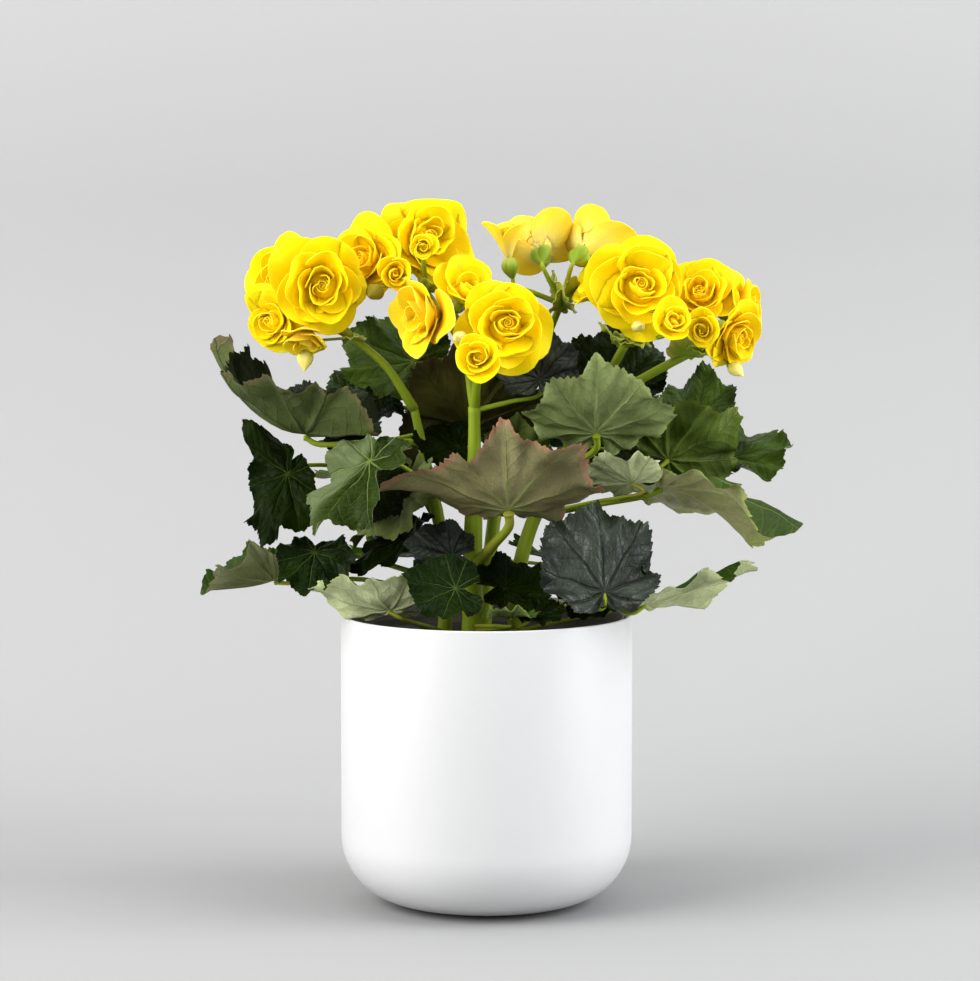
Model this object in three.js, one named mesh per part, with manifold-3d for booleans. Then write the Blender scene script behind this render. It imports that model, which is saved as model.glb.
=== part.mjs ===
// Potted begonia: a yellow, double-flowered begonia in a thin-walled white pot.
// Millimetres, +Z up, +Y away from the front. The origin is the centre of the pot's underside.

import * as THREE from 'three';
import { mergeVertices } from 'three/addons/utils/BufferGeometryUtils.js';
import Module from 'manifold-3d';

const wasm = await Module();
wasm.setup();

// ---------------------------------------------------------------- driving dimensions

const GAP = 0.35;                 // clearance between pieces that touch in the real plant

const POT = {
  radius: 72.5,                   // outside, 145 mm across
  height: 145,                    // underside of the foot to the lip
  wall: 1.4,
  lip: 0.6,                       // rounding of the lip
  heel: 33,                       // radius of the round heel
  floor: 5,                       // thickness of the floor
  segments: 36,
};
const FOOT = { radius: 38, thickness: 2.4, proud: 1, segments: 32 };
const NURSERY = {
  rim: 68.6,                      // outside radius of the rim
  rimDrop: 1.4,                   // from the cover pot's lip down to the rim
  rimBand: 9,                     // height of the rim
  ledge: 2,                       // height of the slope under the rim
  neck: 64,
  foot: 52,
  base: 9,
  wall: 0.9,
  segments: 24,
};
const SOIL = {
  radius: 61.5,
  edge: 126,                      // height at its edge
  crown: 129,                     // height in the middle
  flat: 0.6,                      // share of the radius that is level
  holeFloor: 119,                 // underside of the stems' holes
  segments: 24,
};

const BLADE = 0.65;               // thickness of a leaf blade
const PETAL = 0.6;                // thickness of a petal

// ---------------------------------------------------------------- colours

const COLOURS = {
  pot: { color: 0xf1f1ef, roughness: 0.45 },
  foot: { color: 0xa87443, roughness: 0.9 },
  nursery: { color: 0x7d756c, roughness: 0.6 },
  soil: { color: 0x33241a, roughness: 1.0 },
  stem: { color: 0x8c9a3c, roughness: 0.5 },
  leaf: { color: 0x2f4a22, roughness: 0.35 },
  petal: { color: 0xf7dc1b, roughness: 0.55 },
};

// ---------------------------------------------------------------- small helpers

const radians = THREE.MathUtils.degToRad;

function material(name) {
  return new THREE.MeshStandardMaterial({ metalness: 0, ...COLOURS[name] });
}

function bell(offset, width) {
  return Math.exp(-((offset / width) ** 2));
}

// The signed difference of two angles in degrees, from -180 to 180.
function turn(a, b) {
  return THREE.MathUtils.euclideanModulo(a - b + 180, 360) - 180;
}

function solid(geometry) {
  const bare = geometry.clone();
  bare.deleteAttribute('normal');
  bare.deleteAttribute('uv');
  const merged = mergeVertices(bare, 1e-4);
  return new wasm.Manifold(new wasm.Mesh({
    numProp: 3,
    vertProperties: new Float32Array(merged.attributes.position.array),
    triVerts: new Uint32Array(merged.index.array),
  }));
}

// The largest body of a solid, without the loose scraps and sealed hollows that joining can leave.
function mainBody(joined) {
  const bodies = joined.decompose();
  return bodies.reduce((best, body) => (body.volume() > best.volume() ? body : best));
}

function geometryOf(manifold) {
  const mesh = manifold.getMesh();
  const geometry = new THREE.BufferGeometry();
  geometry.setAttribute('position', new THREE.BufferAttribute(new Float32Array(mesh.vertProperties), 3));
  geometry.setIndex(new THREE.BufferAttribute(new Uint32Array(mesh.triVerts), 1));
  return geometry;
}

function fuse(solids) {
  return solids.reduce((sum, piece) => sum.add(piece));
}

function node(name, geometry, look) {
  const mesh = new THREE.Mesh(geometry, material(look));
  mesh.name = name;
  return mesh;
}

// A sheet given by its corners and triangles, thickened to a closed solid below its upper face.
// Both faces have the same triangles.
function thicken(points, triangles, border, thickness) {
  const sheet = new THREE.BufferGeometry().setFromPoints(points);
  sheet.setIndex(triangles.flat());
  sheet.computeVertexNormals();
  const normals = sheet.attributes.normal;
  const under = points.map((point, i) => (
    new THREE.Vector3().fromBufferAttribute(normals, i).multiplyScalar(-thickness).add(point)));
  const count = points.length;
  const faces = [...triangles];
  triangles.forEach(([a, b, c]) => faces.push([a + count, c + count, b + count]));
  border.forEach((a, i) => {
    const b = border[(i + 1) % border.length];
    faces.push([a, a + count, b + count], [a, b + count, b]);
  });
  const geometry = new THREE.BufferGeometry().setFromPoints([...points, ...under]);
  geometry.setIndex(faces.flat());
  return geometry;
}

// A smooth curve on which equal steps end at its own points, so that a short tube keeps its bends.
class Route extends THREE.CatmullRomCurve3 {
  getPointAt(share, target) {
    return this.getPoint(share, target);
  }

  getTangentAt(share, target) {
    return this.getTangent(share, target);
  }

  getSpacedPoints(steps) {
    return this.getPoints(steps);
  }
}

// A round tube along a smooth curve through the points.
function tube(points, radius, stepsEach, sides) {
  const curve = new Route(points, false, 'centripetal');
  const section = new THREE.Shape();
  for (let i = 0; i < sides; i += 1) {
    const angle = (i / sides) * 2 * Math.PI;
    section[i ? 'lineTo' : 'moveTo'](radius * Math.cos(angle), radius * Math.sin(angle));
  }
  section.closePath();
  const steps = stepsEach * (points.length - 1);
  return new THREE.ExtrudeGeometry(section, { steps, extrudePath: curve, bevelEnabled: false });
}

// ---------------------------------------------------------------- leaf blades

// A blade lies in its own frame: the petiole meets it at the origin, the midrib runs along +X,
// +Y is its left half and +Z its upper side. Each ray from the origin to the margin is an arc
// that starts at one elevation and ends at another, in degrees above the blade's plane.
const PLAIN_LEAF = {
  roll: 0,
  wide: 1,                        // stretch across the midrib
  skew: 0.07,                     // begonia halves are unequal
  cup: 8,                         // elevation of every ray at the petiole
  fold: 0,                        // more elevation of the side rays
  curl: 0,                        // how much the rays bend upward on their way out
  tip: 0,                         // more bend towards the tip
  wave: [12, 3, 0],               // height, count and phase of the waves of the margin
  bends: [],                      // [direction, width, start, end]: one lobe lifted or lowered
  reach: [],                      // [direction, width, factor]: one lobe longer or shorter
  rings: 2,
  rim: 18,
};

// How far the margin's points stand out and its notches cut in, as shares of the blade's length there.
const TOOTH = { out: 0.035, in: 0.045 };

// Distance from petiole to margin, of a leaf one unit long, in a direction given in degrees.
function margin(direction, leaf) {
  const side = Math.abs(turn(direction, 0));
  const angle = radians(direction);
  const heart = 0.66 + 0.34 * ((1 + Math.cos(angle)) / 2) ** 1.5;
  const sinus = 1 - 0.76 * bell(180 - side, 20);
  const lobes = 1 + 0.05 * Math.cos(2 * Math.PI * side / 42);
  const point = 1 + 0.1 * bell(side, 9);
  const halves = 1 + leaf.skew * Math.sin(angle);
  const reach = leaf.reach.reduce(
    (factor, [at, width, scale]) => factor * (1 + (scale - 1) * bell(turn(direction, at), width)), 1);
  return heart * sinus * lobes * point * halves * reach;
}

// The point a share of the way along the ray in one direction; stretch lengthens the ray.
function bladePoint(leaf, direction, share, stretch = 1) {
  const angle = radians(direction);
  const [height, count, phase] = leaf.wave;
  const lift = leaf.bends.map(([at, width, start, end]) => {
    const near = bell(turn(direction, at), width);
    return [start * near, end * near];
  });
  const start = leaf.cup + leaf.fold * Math.sin(angle) ** 2
    + lift.reduce((sum, [first]) => sum + first, 0);
  const bend = leaf.curl + leaf.tip * Math.max(0, Math.cos(angle)) ** 2
    + height * Math.cos(count * angle + radians(phase))
    + lift.reduce((sum, [, last]) => sum + last, 0);
  const from = radians(start);
  const by = Math.abs(bend) < 0.5 ? radians(0.5) : radians(bend);
  const length = leaf.long * margin(direction, leaf) * stretch;
  const out = length * (Math.sin(from + by * share) - Math.sin(from)) / by;
  const up = length * (Math.cos(from) - Math.cos(from + by * share)) / by;
  return new THREE.Vector3(out * Math.cos(angle), out * Math.sin(angle) * leaf.wide, up);
}

// The blade as a closed solid in its own frame: a fan round the petiole, rings, and a cut margin.
function bladeGeometry(leaf) {
  const shares = leaf.rings === 3 ? [0.38, 0.72, 1] : [0.48, 1];
  const inner = leaf.rim / 2;
  const points = [new THREE.Vector3()];
  const rows = shares.map((share, ring) => {
    const count = ring ? leaf.rim : inner;
    const row = [];
    for (let i = 0; i < count; i += 1) {
      const direction = -180 + (i + 0.5) * 360 / count;
      const tooth = share === 1 ? 1 + (i % 2 ? TOOTH.out : -TOOTH.in) : 1;
      row.push(points.length);
      points.push(bladePoint(leaf, direction, share, tooth));
    }
    return row;
  });
  const triangles = [];
  rows[0].forEach((a, i) => triangles.push([0, a, rows[0][(i + 1) % inner]]));
  rows[0].forEach((a, i) => {
    const next = rows[0][(i + 1) % inner];
    const [b, c, d] = [2 * i, 2 * i + 1, (2 * i + 2) % leaf.rim].map((k) => rows[1][k]);
    triangles.push([a, b, c], [a, c, next], [next, c, d]);
  });
  for (let ring = 1; ring < rows.length - 1; ring += 1) {
    rows[ring].forEach((a, i) => {
      const next = (i + 1) % leaf.rim;
      const [b, c, d] = [rows[ring + 1][i], rows[ring + 1][next], rows[ring][next]];
      triangles.push([a, b, c], [a, c, d]);
    });
  }
  return thicken(points, triangles, rows.at(-1), BLADE);
}

// heading: compass direction of the midrib from +X; pitch: how far it climbs; roll: about the midrib.
function leafTurn(leaf) {
  return new THREE.Euler(radians(leaf.roll), radians(-leaf.pitch), radians(leaf.heading), 'ZYX');
}

// ---------------------------------------------------------------- petals and blooms

// A bloom's frame: +Z is the way it faces, the origin is its heart and the stalk comes from -Z.
// Whorls of petals, from the outside in: their count, the distance of their roots from the axis,
// length and width, all three as shares of the bloom's radius, and the lean from the axis at the
// root and the further lean at the rim, in degrees. Every other petal leans `step` degrees less.
const WHORLS = {
  open: [
    { count: 5, root: 0.1, long: 1.1, wide: 1.3, lean: 50, flare: 42, step: 6 },
    { count: 4, root: 0.1, long: 0.9, wide: 1.1, lean: 28, flare: 28, step: 0 },
  ],
  small: [
    { count: 4, root: 0.1, long: 1.15, wide: 1.6, lean: 50, flare: 36, step: 6 },
    { count: 3, root: 0.1, long: 0.9, wide: 1.1, lean: 24, flare: 20, step: 0 },
  ],
  rolled: [
    { count: 3, root: 0.1, long: 1.2, wide: 1.5, lean: 34, flare: 12, step: 0 },
  ],
  half: [
    { count: 4, root: 0.1, long: 1.3, wide: 1.6, lean: 36, flare: 26, step: 6 },
  ],
};
const HEART_DEPTH = 0.55;         // from the heart back to the petals' roots, as a share of radius
const PETAL_SHARE = 0.94;         // of its part of the circle that a petal may fill
const HEART = { width: 0.27, height: 0.4, sunk: 0.14 };

// A point of a petal: v from root to rim, u from -1 to 1 across. The petal follows a circle round
// the axis, so that the petals of a whorl stand side by side.
function petalPoint(petal, radius, lean, u, v) {
  const from = radians(lean);
  const by = radians(petal.flare);
  const length = petal.long * radius;
  const out = petal.root * radius + length * (Math.cos(from) - Math.cos(from + by * v)) / by;
  const up = length * (Math.sin(from + by * v) - Math.sin(from)) / by;
  const half = petal.wide * radius * 0.5 * Math.sin(Math.PI / 2 * Math.min(1, 0.1 + v / 0.62));
  const share = PETAL_SHARE * Math.PI / petal.count;
  const angle = u * Math.min(share, half / Math.max(out, 0.3 * radius));
  return new THREE.Vector3(
    out * Math.cos(angle),
    out * Math.sin(angle),
    up - HEART_DEPTH * radius,
  );
}

function petalGeometry(petal, radius, lean) {
  const points = [
    ...[-0.6, 0.6].map((u) => petalPoint(petal, radius, lean, u, 0)),
    ...[-1, 0, 1].map((u) => petalPoint(petal, radius, lean, u, 0.55)),
    ...[-0.86, 0, 0.86].map((u, i) => petalPoint(petal, radius, lean, u, i === 1 ? 1 : 0.92)),
  ];
  const triangles = [
    [0, 3, 2], [0, 1, 3], [1, 4, 3],
    [2, 3, 6], [2, 6, 5], [3, 4, 6], [4, 7, 6],
  ];
  return thicken(points, triangles, [0, 1, 4, 7, 6, 5, 2], PETAL);
}

// The rolled young petals at the heart are one small pointed body, which the others stand round.
function bloomGeometry(bloom) {
  const { radius } = bloom;
  const heart = new THREE.SphereGeometry(1, 5, 3);
  heart.rotateX(Math.PI / 2);
  heart.scale(HEART.width * radius, HEART.width * radius, HEART.height * radius);
  heart.translate(0, 0, (HEART.height - HEART_DEPTH - HEART.sunk) * radius);
  const solids = [solid(heart)];
  WHORLS[bloom.kind].forEach((petal, ring) => {
    for (let i = 0; i < petal.count; i += 1) {
      const geometry = petalGeometry(petal, radius, petal.lean - (i % 2) * petal.step);
      geometry.rotateZ(radians(bloom.spin + ring * 45 + i * 360 / petal.count));
      solids.push(solid(geometry));
    }
  });
  return geometryOf(mainBody(fuse(solids)));
}

function bloomTurn(bloom) {
  const [azimuth, elevation] = bloom.facing;
  return new THREE.Euler(0, radians(90 - elevation), radians(azimuth), 'ZYX');
}

// ---------------------------------------------------------------- the plant

// The four leafy stems, from inside the soil upwards.
const STEMS = {
  centre: { radius: 4.7, path: [[-7, -5, 120], [-7, -5, 167], [-6, -7, 212], [-6, -8, 248]] },
  left: { radius: 3.4, path: [[-22, 8, 120], [-20, 6, 166], [-27, 8, 205], [-36, 8, 246]] },
  right: { radius: 3.5, path: [[14, 2, 120], [17, 4, 170], [34, 8, 215], [52, 12, 246]] },
  back: { radius: 3.4, path: [[-2, 32, 120], [2, 40, 172], [10, 54, 226], [20, 52, 262]] },
};

// Where each leaf is joined to its stem (a share of the stem's path), where its blade begins, and
// the compass heading, climb and roll of its midrib.
const LEAVES = [
  // left side, from the top down
  { name: 'upper_left', stem: 'left', join: 0.86, at: [-90, 5, 234], heading: 178, pitch: 4, roll: -10,
    long: 60, fold: 27, tip: 66, wave: [8, 3, 40], rings: 3, wide: 0.58,
    reach: [[150, 30, 1.2], [-90, 40, 0.8], [-150, 30, 1.2]] },
  { name: 'left_shoulder', stem: 'back', join: 0.78, at: [-53, 39, 248], heading: 184, pitch: -8,
    roll: -36, long: 34, fold: 8, wave: [14, 4, 20], reach: [[180, 80, 0.45]], via: [-12, 52, 240] },
  { name: 'left_crown', stem: 'back', join: 0.86, at: [-37, 41, 268], heading: 158, pitch: 16,
    roll: -44, long: 36, cup: 4, wave: [16, 4, 90], reach: [[180, 60, 0.7]] },
  { name: 'left_hanging', stem: 'left', join: 0.62, at: [-99, 6, 214], heading: 240, pitch: -56,
    roll: 0, long: 37, cup: 2, curl: -10, wave: [10, 4, 0], bends: [[-118, 20, 10, 30]],
    reach: [[-118, 14, 1.8], [130, 50, 0.5]], wide: 0.72, via: [-62, 39, 213] },
  { name: 'left_bright', stem: 'left', join: 0.66, at: [-57, -26, 223], heading: 220, pitch: -50,
    roll: 0, long: 42, cup: 4, wave: [16, 4, 60], reach: [[180, 60, 0.5]], wide: 0.86,
    via: [-40, -22, 219] },
  { name: 'left_inner', stem: 'left', join: 0.58, at: [-55, 6, 213], heading: 252, pitch: -58, roll: 0,
    long: 30, wide: 0.85, wave: [10, 3, 0], reach: [[180, 60, 0.6]] },
  { name: 'far_left_curled', stem: 'left', join: 0.22, at: [-106, 4, 161], heading: 186, pitch: -22,
    roll: 0, long: 36, fold: 34, cup: 14, wave: [6, 3, 0], rings: 3, wide: 0.84,
    reach: [[180, 70, 0.4]], via: [-62, 14, 160] },
  { name: 'low_left', stem: 'left', join: 0.28, at: [-85, -6, 176], heading: 264, pitch: -38, roll: -4,
    long: 31, cup: 2, wave: [12, 4, 0], wide: 0.8, reach: [[180, 60, 0.5]], via: [-62, 22, 170] },
  { name: 'over_rim_left', stem: 'left', join: 0.1, at: [-47, -36, 151], heading: 180, pitch: 4,
    roll: 36, long: 38, cup: 6, wave: [12, 3, 0], wide: 0.85, reach: [[-90, 60, 0.3], [180, 40, 0.9]] },
  { name: 'low_dark_left', stem: 'left', join: 0.36, at: [-39, 2, 185], heading: 204, pitch: -40,
    roll: 0, long: 35, wide: 0.85, wave: [10, 4, 0], reach: [[180, 60, 0.5]] },
  { name: 'low_grey_left', stem: 'centre', join: 0.3, at: [-17, -28, 177], heading: 188, pitch: 12,
    roll: -62, long: 22, wave: [14, 4, 0] },
  // centre, from the top down
  { name: 'centre_behind', stem: 'back', join: 0.45, at: [-8, 27, 236], heading: 262, pitch: 52,
    roll: 0, long: 46, cup: 10, wave: [10, 3, 0], bends: [[-112, 18, -20, -50]],
    reach: [[-80, 40, 0.95], [-112, 16, 1.6], [180, 50, 0.6]], via: [-4, 38, 208] },
  { name: 'centre_wide', stem: 'centre', join: 0.34, at: [11, -33, 200], heading: 264, pitch: 40,
    roll: 0, long: 43, cup: 14, wave: [8, 3, 0],
    reach: [[-86, 22, 2], [80, 28, 1.25], [38, 20, 1.2], [180, 50, 0.6]] },
  { name: 'low_young_centre', stem: 'centre', join: 0.2, at: [-15, -49, 163], heading: 186, pitch: 6,
    roll: -48, long: 24, wave: [14, 4, 0] },
  { name: 'low_dark_centre', stem: 'centre', join: 0.22, at: [9, -26, 160], heading: 16, pitch: 4,
    roll: 30, long: 25, wave: [12, 4, 0] },
  { name: 'low_slate_right', stem: 'right', join: 0.2, at: [57, -56, 162], heading: 100, pitch: 62,
    roll: 0, long: 46, cup: 4, wave: [8, 3, 0], reach: [[180, 70, 0.25], [0, 16, 0.86]], wide: 0.85 },
  // right side, from the top down
  { name: 'right_blue_crown', stem: 'centre', join: 0.99, at: [26, -14, 262], heading: 74, pitch: 58,
    roll: 0, long: 26, cup: 6, wave: [18, 3, 0], reach: [[180, 60, 0.7]] },
  { name: 'right_dark_crown', stem: 'right', join: 0.99, at: [66, 36, 253], heading: 84, pitch: 56,
    roll: 0, long: 36, wave: [12, 4, 0], reach: [[180, 70, 0.6]] },
  { name: 'right_pale_wide', stem: 'right', join: 0.62, at: [54, -15, 236], heading: 268, pitch: 40,
    roll: 0, long: 40, cup: 12, wave: [10, 3, 0], reach: [[-90, 30, 1.2], [85, 25, 1.1]] },
  { name: 'right_shoulder', stem: 'right', join: 0.72, at: [106, 52, 239], heading: 66, pitch: 40,
    roll: 0, long: 28, wave: [14, 4, 0] },
  { name: 'right_olive', stem: 'right', join: 0.6, at: [90, 8, 221], heading: 354, pitch: 22, roll: -58,
    long: 38, cup: 10, wave: [10, 3, 0], rim: 20, reach: [[180, 70, 0.45]] },
  { name: 'far_right_dark', stem: 'right', join: 0.72, at: [123, 43, 219], heading: 2, pitch: 4,
    roll: 24, long: 33, wave: [12, 4, 0], reach: [[180, 70, 0.4]] },
  { name: 'right_long_hanging', stem: 'right', join: 0.5, at: [86, -18, 210], heading: 350,
    pitch: 0, roll: -24, long: 67, cup: 6, wave: [6, 3, 0], rings: 3, wide: 0.9, tip: -56,
    reach: [[-90, 55, 0.38], [180, 60, 0.6]] },
  { name: 'over_rim_right', stem: 'right', join: 0.14, at: [77, -33, 154], heading: 2, pitch: 8,
    roll: -22, long: 54, wide: 0.8, cup: 4, wave: [8, 3, 0],
    reach: [[90, 60, 0.3], [180, 60, 0.4], [-90, 40, 0.6]], via: [56, -14, 151] },
];

// Young and hidden leaves, fused to their stems.
const SMALL_LEAVES = [
  // seen from the front
  { stem: 'left', join: 0.9, at: [-66, 13, 230], heading: 182, pitch: -12, roll: -30, long: 16 },
  { stem: 'left', join: 0.5, at: [-42, 10, 206], heading: 216, pitch: -56, roll: 0, long: 35 },
  { stem: 'left', join: 0.82, at: [-14, 12, 227], heading: 188, pitch: 2, roll: -36, long: 22 },
  { stem: 'centre', join: 0.13, at: [12, -54, 150], heading: 262, pitch: 10, roll: 0, long: 16 },
  { stem: 'centre', join: 0.6, at: [14, 8, 222], heading: 268, pitch: 46, roll: 0, long: 22 },
  { stem: 'centre', join: 0.11, at: [23, -52, 150], heading: 6, pitch: 8, roll: 18, long: 16 },
  { stem: 'right', join: 0.1, at: [55, -38, 155], heading: 178, pitch: 4, roll: -30, long: 19 },
  { stem: 'right', join: 0.16, at: [56, -43, 159], heading: 2, pitch: 18, roll: 28, long: 21 },
  { stem: 'right', join: 0.5, at: [71, -30, 213], heading: 182, pitch: 10, roll: 36, long: 25 },
  { stem: 'right', join: 0.8, at: [68, 22, 226], heading: 184, pitch: -4, roll: -34, long: 33,
    reach: [[180, 90, 0.5]] },
  { stem: 'right', join: 0.97, at: [55, 4, 260], heading: 104, pitch: 44, roll: 0, long: 23 },
  // round the back
  { stem: 'back', join: 0.95, at: [-24, 80, 246], heading: 128, pitch: 4, roll: 0, long: 34 },
  { stem: 'back', join: 0.9, at: [40, 78, 246], heading: 62, pitch: 2, roll: 0, long: 36 },
  { stem: 'back', join: 0.6, at: [-48, 70, 210], heading: 140, pitch: -10, roll: 0, long: 40 },
  { stem: 'back', join: 0.5, at: [4, 84, 198], heading: 92, pitch: -14, roll: 0, long: 36 },
  { stem: 'back', join: 0.55, at: [62, 66, 208], heading: 40, pitch: -12, roll: 0, long: 40 },
  { stem: 'back', join: 0.25, at: [-36, 52, 168], heading: 130, pitch: -4, roll: 0, long: 34 },
  { stem: 'back', join: 0.3, at: [36, 54, 168], heading: 50, pitch: -4, roll: 0, long: 34 },
];
const SMALL_RIM = 12;

// Flowering stalks: each leaves a stem and ends in a fork, where its flowers' own stalks begin.
const STALKS = {
  left: { stem: 'left', radius: 2, path: [[-36, 8, 246], [-50, 0, 268], [-66, -5, 282]] },
  top: { stem: 'centre', radius: 2, path: [[-6, -8, 248], [-12, -5, 278], [-30, 4, 304]] },
  middle: { stem: 'centre', radius: 2.2, path: [[-6, -8, 248], [-5, -14, 258], [-4, -18, 266]] },
  rear: { stem: 'back', radius: 1.8, path: [[20, 52, 262], [30, 34, 280], [37, 14, 298]] },
  right: { stem: 'right', radius: 2.2, path: [[52, 12, 246], [60, 6, 262], [68, -4, 278]] },
  far_right: { stem: 'right', radius: 2.2, path: [[52, 12, 246], [82, 4, 264], [104, 0, 276]] },
};

// Blooms: the stalk they are on, the place of the heart, where they face (compass and climb),
// radius and kind.
const BLOOMS = [
  { name: 'left_large', stalk: 'left', at: [-80, -18, 308], facing: [284, 0], radius: 20.5,
    kind: 'open', spin: 10 },
  { name: 'left_outer', stalk: 'left', at: [-104, 8, 312], facing: [226, 16], radius: 17,
    kind: 'small', spin: 40 },
  { name: 'left_lower', stalk: 'left', at: [-106, -6, 290], facing: [236, -14], radius: 15,
    kind: 'small', spin: 0 },
  { name: 'left_drooping', stalk: 'left', at: [-88, -16, 282], facing: [262, -62], radius: 11,
    kind: 'half', spin: 20 },
  { name: 'top_large', stalk: 'top', at: [-29, 12, 331], facing: [296, 18], radius: 21.5,
    kind: 'open', spin: 0 },
  { name: 'top_left', stalk: 'top', at: [-61, 4, 320], facing: [240, 8], radius: 17.5,
    kind: 'small', spin: 25 },
  { name: 'top_small', stalk: 'top', at: [-31, -20, 327], facing: [272, 0], radius: 7,
    kind: 'rolled', spin: 0 },
  { name: 'top_rolled', stalk: 'top', at: [-45, -19, 314], facing: [280, -8], radius: 9,
    kind: 'rolled', spin: 30 },
  { name: 'middle_side', stalk: 'middle', at: [-31, -22, 294], facing: [220, 2], radius: 18,
    kind: 'half', spin: 0 },
  { name: 'middle_upright', stalk: 'middle', at: [-10, -12, 306], facing: [300, 44], radius: 15,
    kind: 'half', spin: 50 },
  { name: 'middle_large', stalk: 'middle', at: [10, -38, 290], facing: [284, 4], radius: 19.5,
    kind: 'open', spin: 0 },
  { name: 'middle_rolled', stalk: 'middle', at: [-4, -54, 275], facing: [264, 14], radius: 12,
    kind: 'rolled', spin: 15 },
  { name: 'rear_bud', stalk: 'rear', at: [10, 4, 326], facing: [200, 78], radius: 10,
    kind: 'half', spin: 0 },
  { name: 'rear_middle', stalk: 'rear', at: [27, 26, 329], facing: [92, 30], radius: 16.5,
    kind: 'half', spin: 20 },
  { name: 'rear_cream', stalk: 'rear', at: [52, 26, 328], facing: [64, 26], radius: 17.5,
    kind: 'half', spin: 0 },
  { name: 'right_large', stalk: 'right', at: [75, -20, 308], facing: [276, 8], radius: 21,
    kind: 'open', spin: 20 },
  { name: 'right_half', stalk: 'right', at: [54, 2, 308], facing: [200, 30], radius: 13.5,
    kind: 'half', spin: 0 },
  { name: 'right_rolled', stalk: 'right', at: [90, -36, 291], facing: [280, 26], radius: 11,
    kind: 'rolled', spin: 0 },
  { name: 'far_right_upper', stalk: 'far_right', at: [106, 6, 304], facing: [266, 34], radius: 16,
    kind: 'small', spin: 0 },
  { name: 'far_right_outer', stalk: 'far_right', at: [131, 19, 296], facing: [342, 14], radius: 16,
    kind: 'small', spin: 30 },
  { name: 'far_right_lower', stalk: 'far_right', at: [123, -12, 282], facing: [316, -20], radius: 15.5,
    kind: 'small', spin: 50 },
  { name: 'far_right_rolled', stalk: 'far_right', at: [105, -26, 287], facing: [270, -2], radius: 9.5,
    kind: 'rolled', spin: 0 },
];

const PETIOLE = 1.25;             // radius of a leaf's stalk
const PEDICEL = 0.85;             // radius of a flower's stalk
const APPROACH = { under: 3, behind: 6 };     // where a leaf's stalk turns towards its blade

function vectors(list) {
  return list.map((point) => new THREE.Vector3(...point));
}

function stemPoint(stem, share) {
  return new THREE.CatmullRomCurve3(vectors(STEMS[stem].path), false, 'centripetal').getPoint(share);
}

// The stalk of a leaf, from the axis of its stem to just under the blade, or into a fused blade.
function petiole(leaf, fused) {
  const facing = leafTurn(leaf);
  const upper = new THREE.Vector3(0, 0, 1).applyEuler(facing);
  const midrib = new THREE.Vector3(1, 0, 0).applyEuler(facing);
  const radius = fused ? 0.8 * PETIOLE : PETIOLE;
  const clear = fused ? 0.3 * BLADE : BLADE + GAP + 0.7 * radius;
  const end = new THREE.Vector3(...leaf.at).addScaledVector(upper, -clear);
  const before = end.clone()
    .addScaledVector(upper, -APPROACH.under)
    .addScaledVector(midrib, -APPROACH.behind);
  const root = stemPoint(leaf.stem, leaf.join);
  const middle = leaf.via ? new THREE.Vector3(...leaf.via) : root.clone().lerp(before, 0.55);
  return tube([root, middle, before, end], radius, 1, 4);
}

// The stalk of a bloom, from the fork of its cluster to just behind the petals' roots.
function pedicel(bloom) {
  const axis = new THREE.Vector3(0, 0, 1).applyEuler(bloomTurn(bloom));
  const end = new THREE.Vector3(...bloom.at)
    .addScaledVector(axis, -((HEART_DEPTH + HEART.sunk) * bloom.radius + GAP));
  const before = end.clone().addScaledVector(axis, -4);
  const fork = new THREE.Vector3(...STALKS[bloom.stalk].path.at(-1));
  return tube([fork, before, end], PEDICEL, 1, 3);
}

function stemNode(stem) {
  const { radius, path } = STEMS[stem];
  const solids = [solid(tube(vectors(path), radius, 2, 8))];
  LEAVES.filter((leaf) => leaf.stem === stem)
    .forEach((leaf) => solids.push(solid(petiole({ ...PLAIN_LEAF, ...leaf }, false))));
  SMALL_LEAVES.filter((leaf) => leaf.stem === stem).forEach((small) => {
    const leaf = { ...PLAIN_LEAF, rim: SMALL_RIM, ...small };
    const blade = bladeGeometry(leaf);
    blade.applyMatrix4(new THREE.Matrix4().makeRotationFromEuler(leafTurn(leaf)).setPosition(...leaf.at));
    solids.push(solid(blade), solid(petiole(leaf, true)));
  });
  Object.entries(STALKS).filter(([, stalk]) => stalk.stem === stem).forEach(([name, stalk]) => {
    solids.push(solid(tube(vectors(stalk.path), stalk.radius, 1, 5)));
    BLOOMS.filter((bloom) => bloom.stalk === name)
      .forEach((bloom) => solids.push(solid(pedicel(bloom))));
  });
  return node(`leafy_stem_${stem}`, geometryOf(mainBody(fuse(solids))), 'stem');
}

function leafNode(entry) {
  const leaf = { ...PLAIN_LEAF, ...entry };
  const mesh = node(`leaf_${leaf.name}`, bladeGeometry(leaf), 'leaf');
  mesh.position.set(...leaf.at);
  mesh.rotation.copy(leafTurn(leaf));
  return mesh;
}

function bloomNode(bloom) {
  const mesh = node(`bloom_${bloom.name}`, bloomGeometry(bloom), 'petal');
  mesh.position.set(...bloom.at);
  mesh.rotation.copy(bloomTurn(bloom));
  return mesh;
}

// ---------------------------------------------------------------- pots and soil

function lathe(profile, segments) {
  const geometry = new THREE.LatheGeometry(profile.map(([r, z]) => new THREE.Vector2(r, z)), segments);
  geometry.rotateX(Math.PI / 2);
  return geometry;
}

// A quarter of a circle from straight down to straight out, as points of a profile.
function heelArc(centre, height, radius, steps) {
  return Array.from({ length: steps + 1 }, (_, i) => {
    const angle = (i / steps) * Math.PI / 2;
    return [centre + radius * Math.sin(angle), height - radius * Math.cos(angle)];
  });
}

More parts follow.
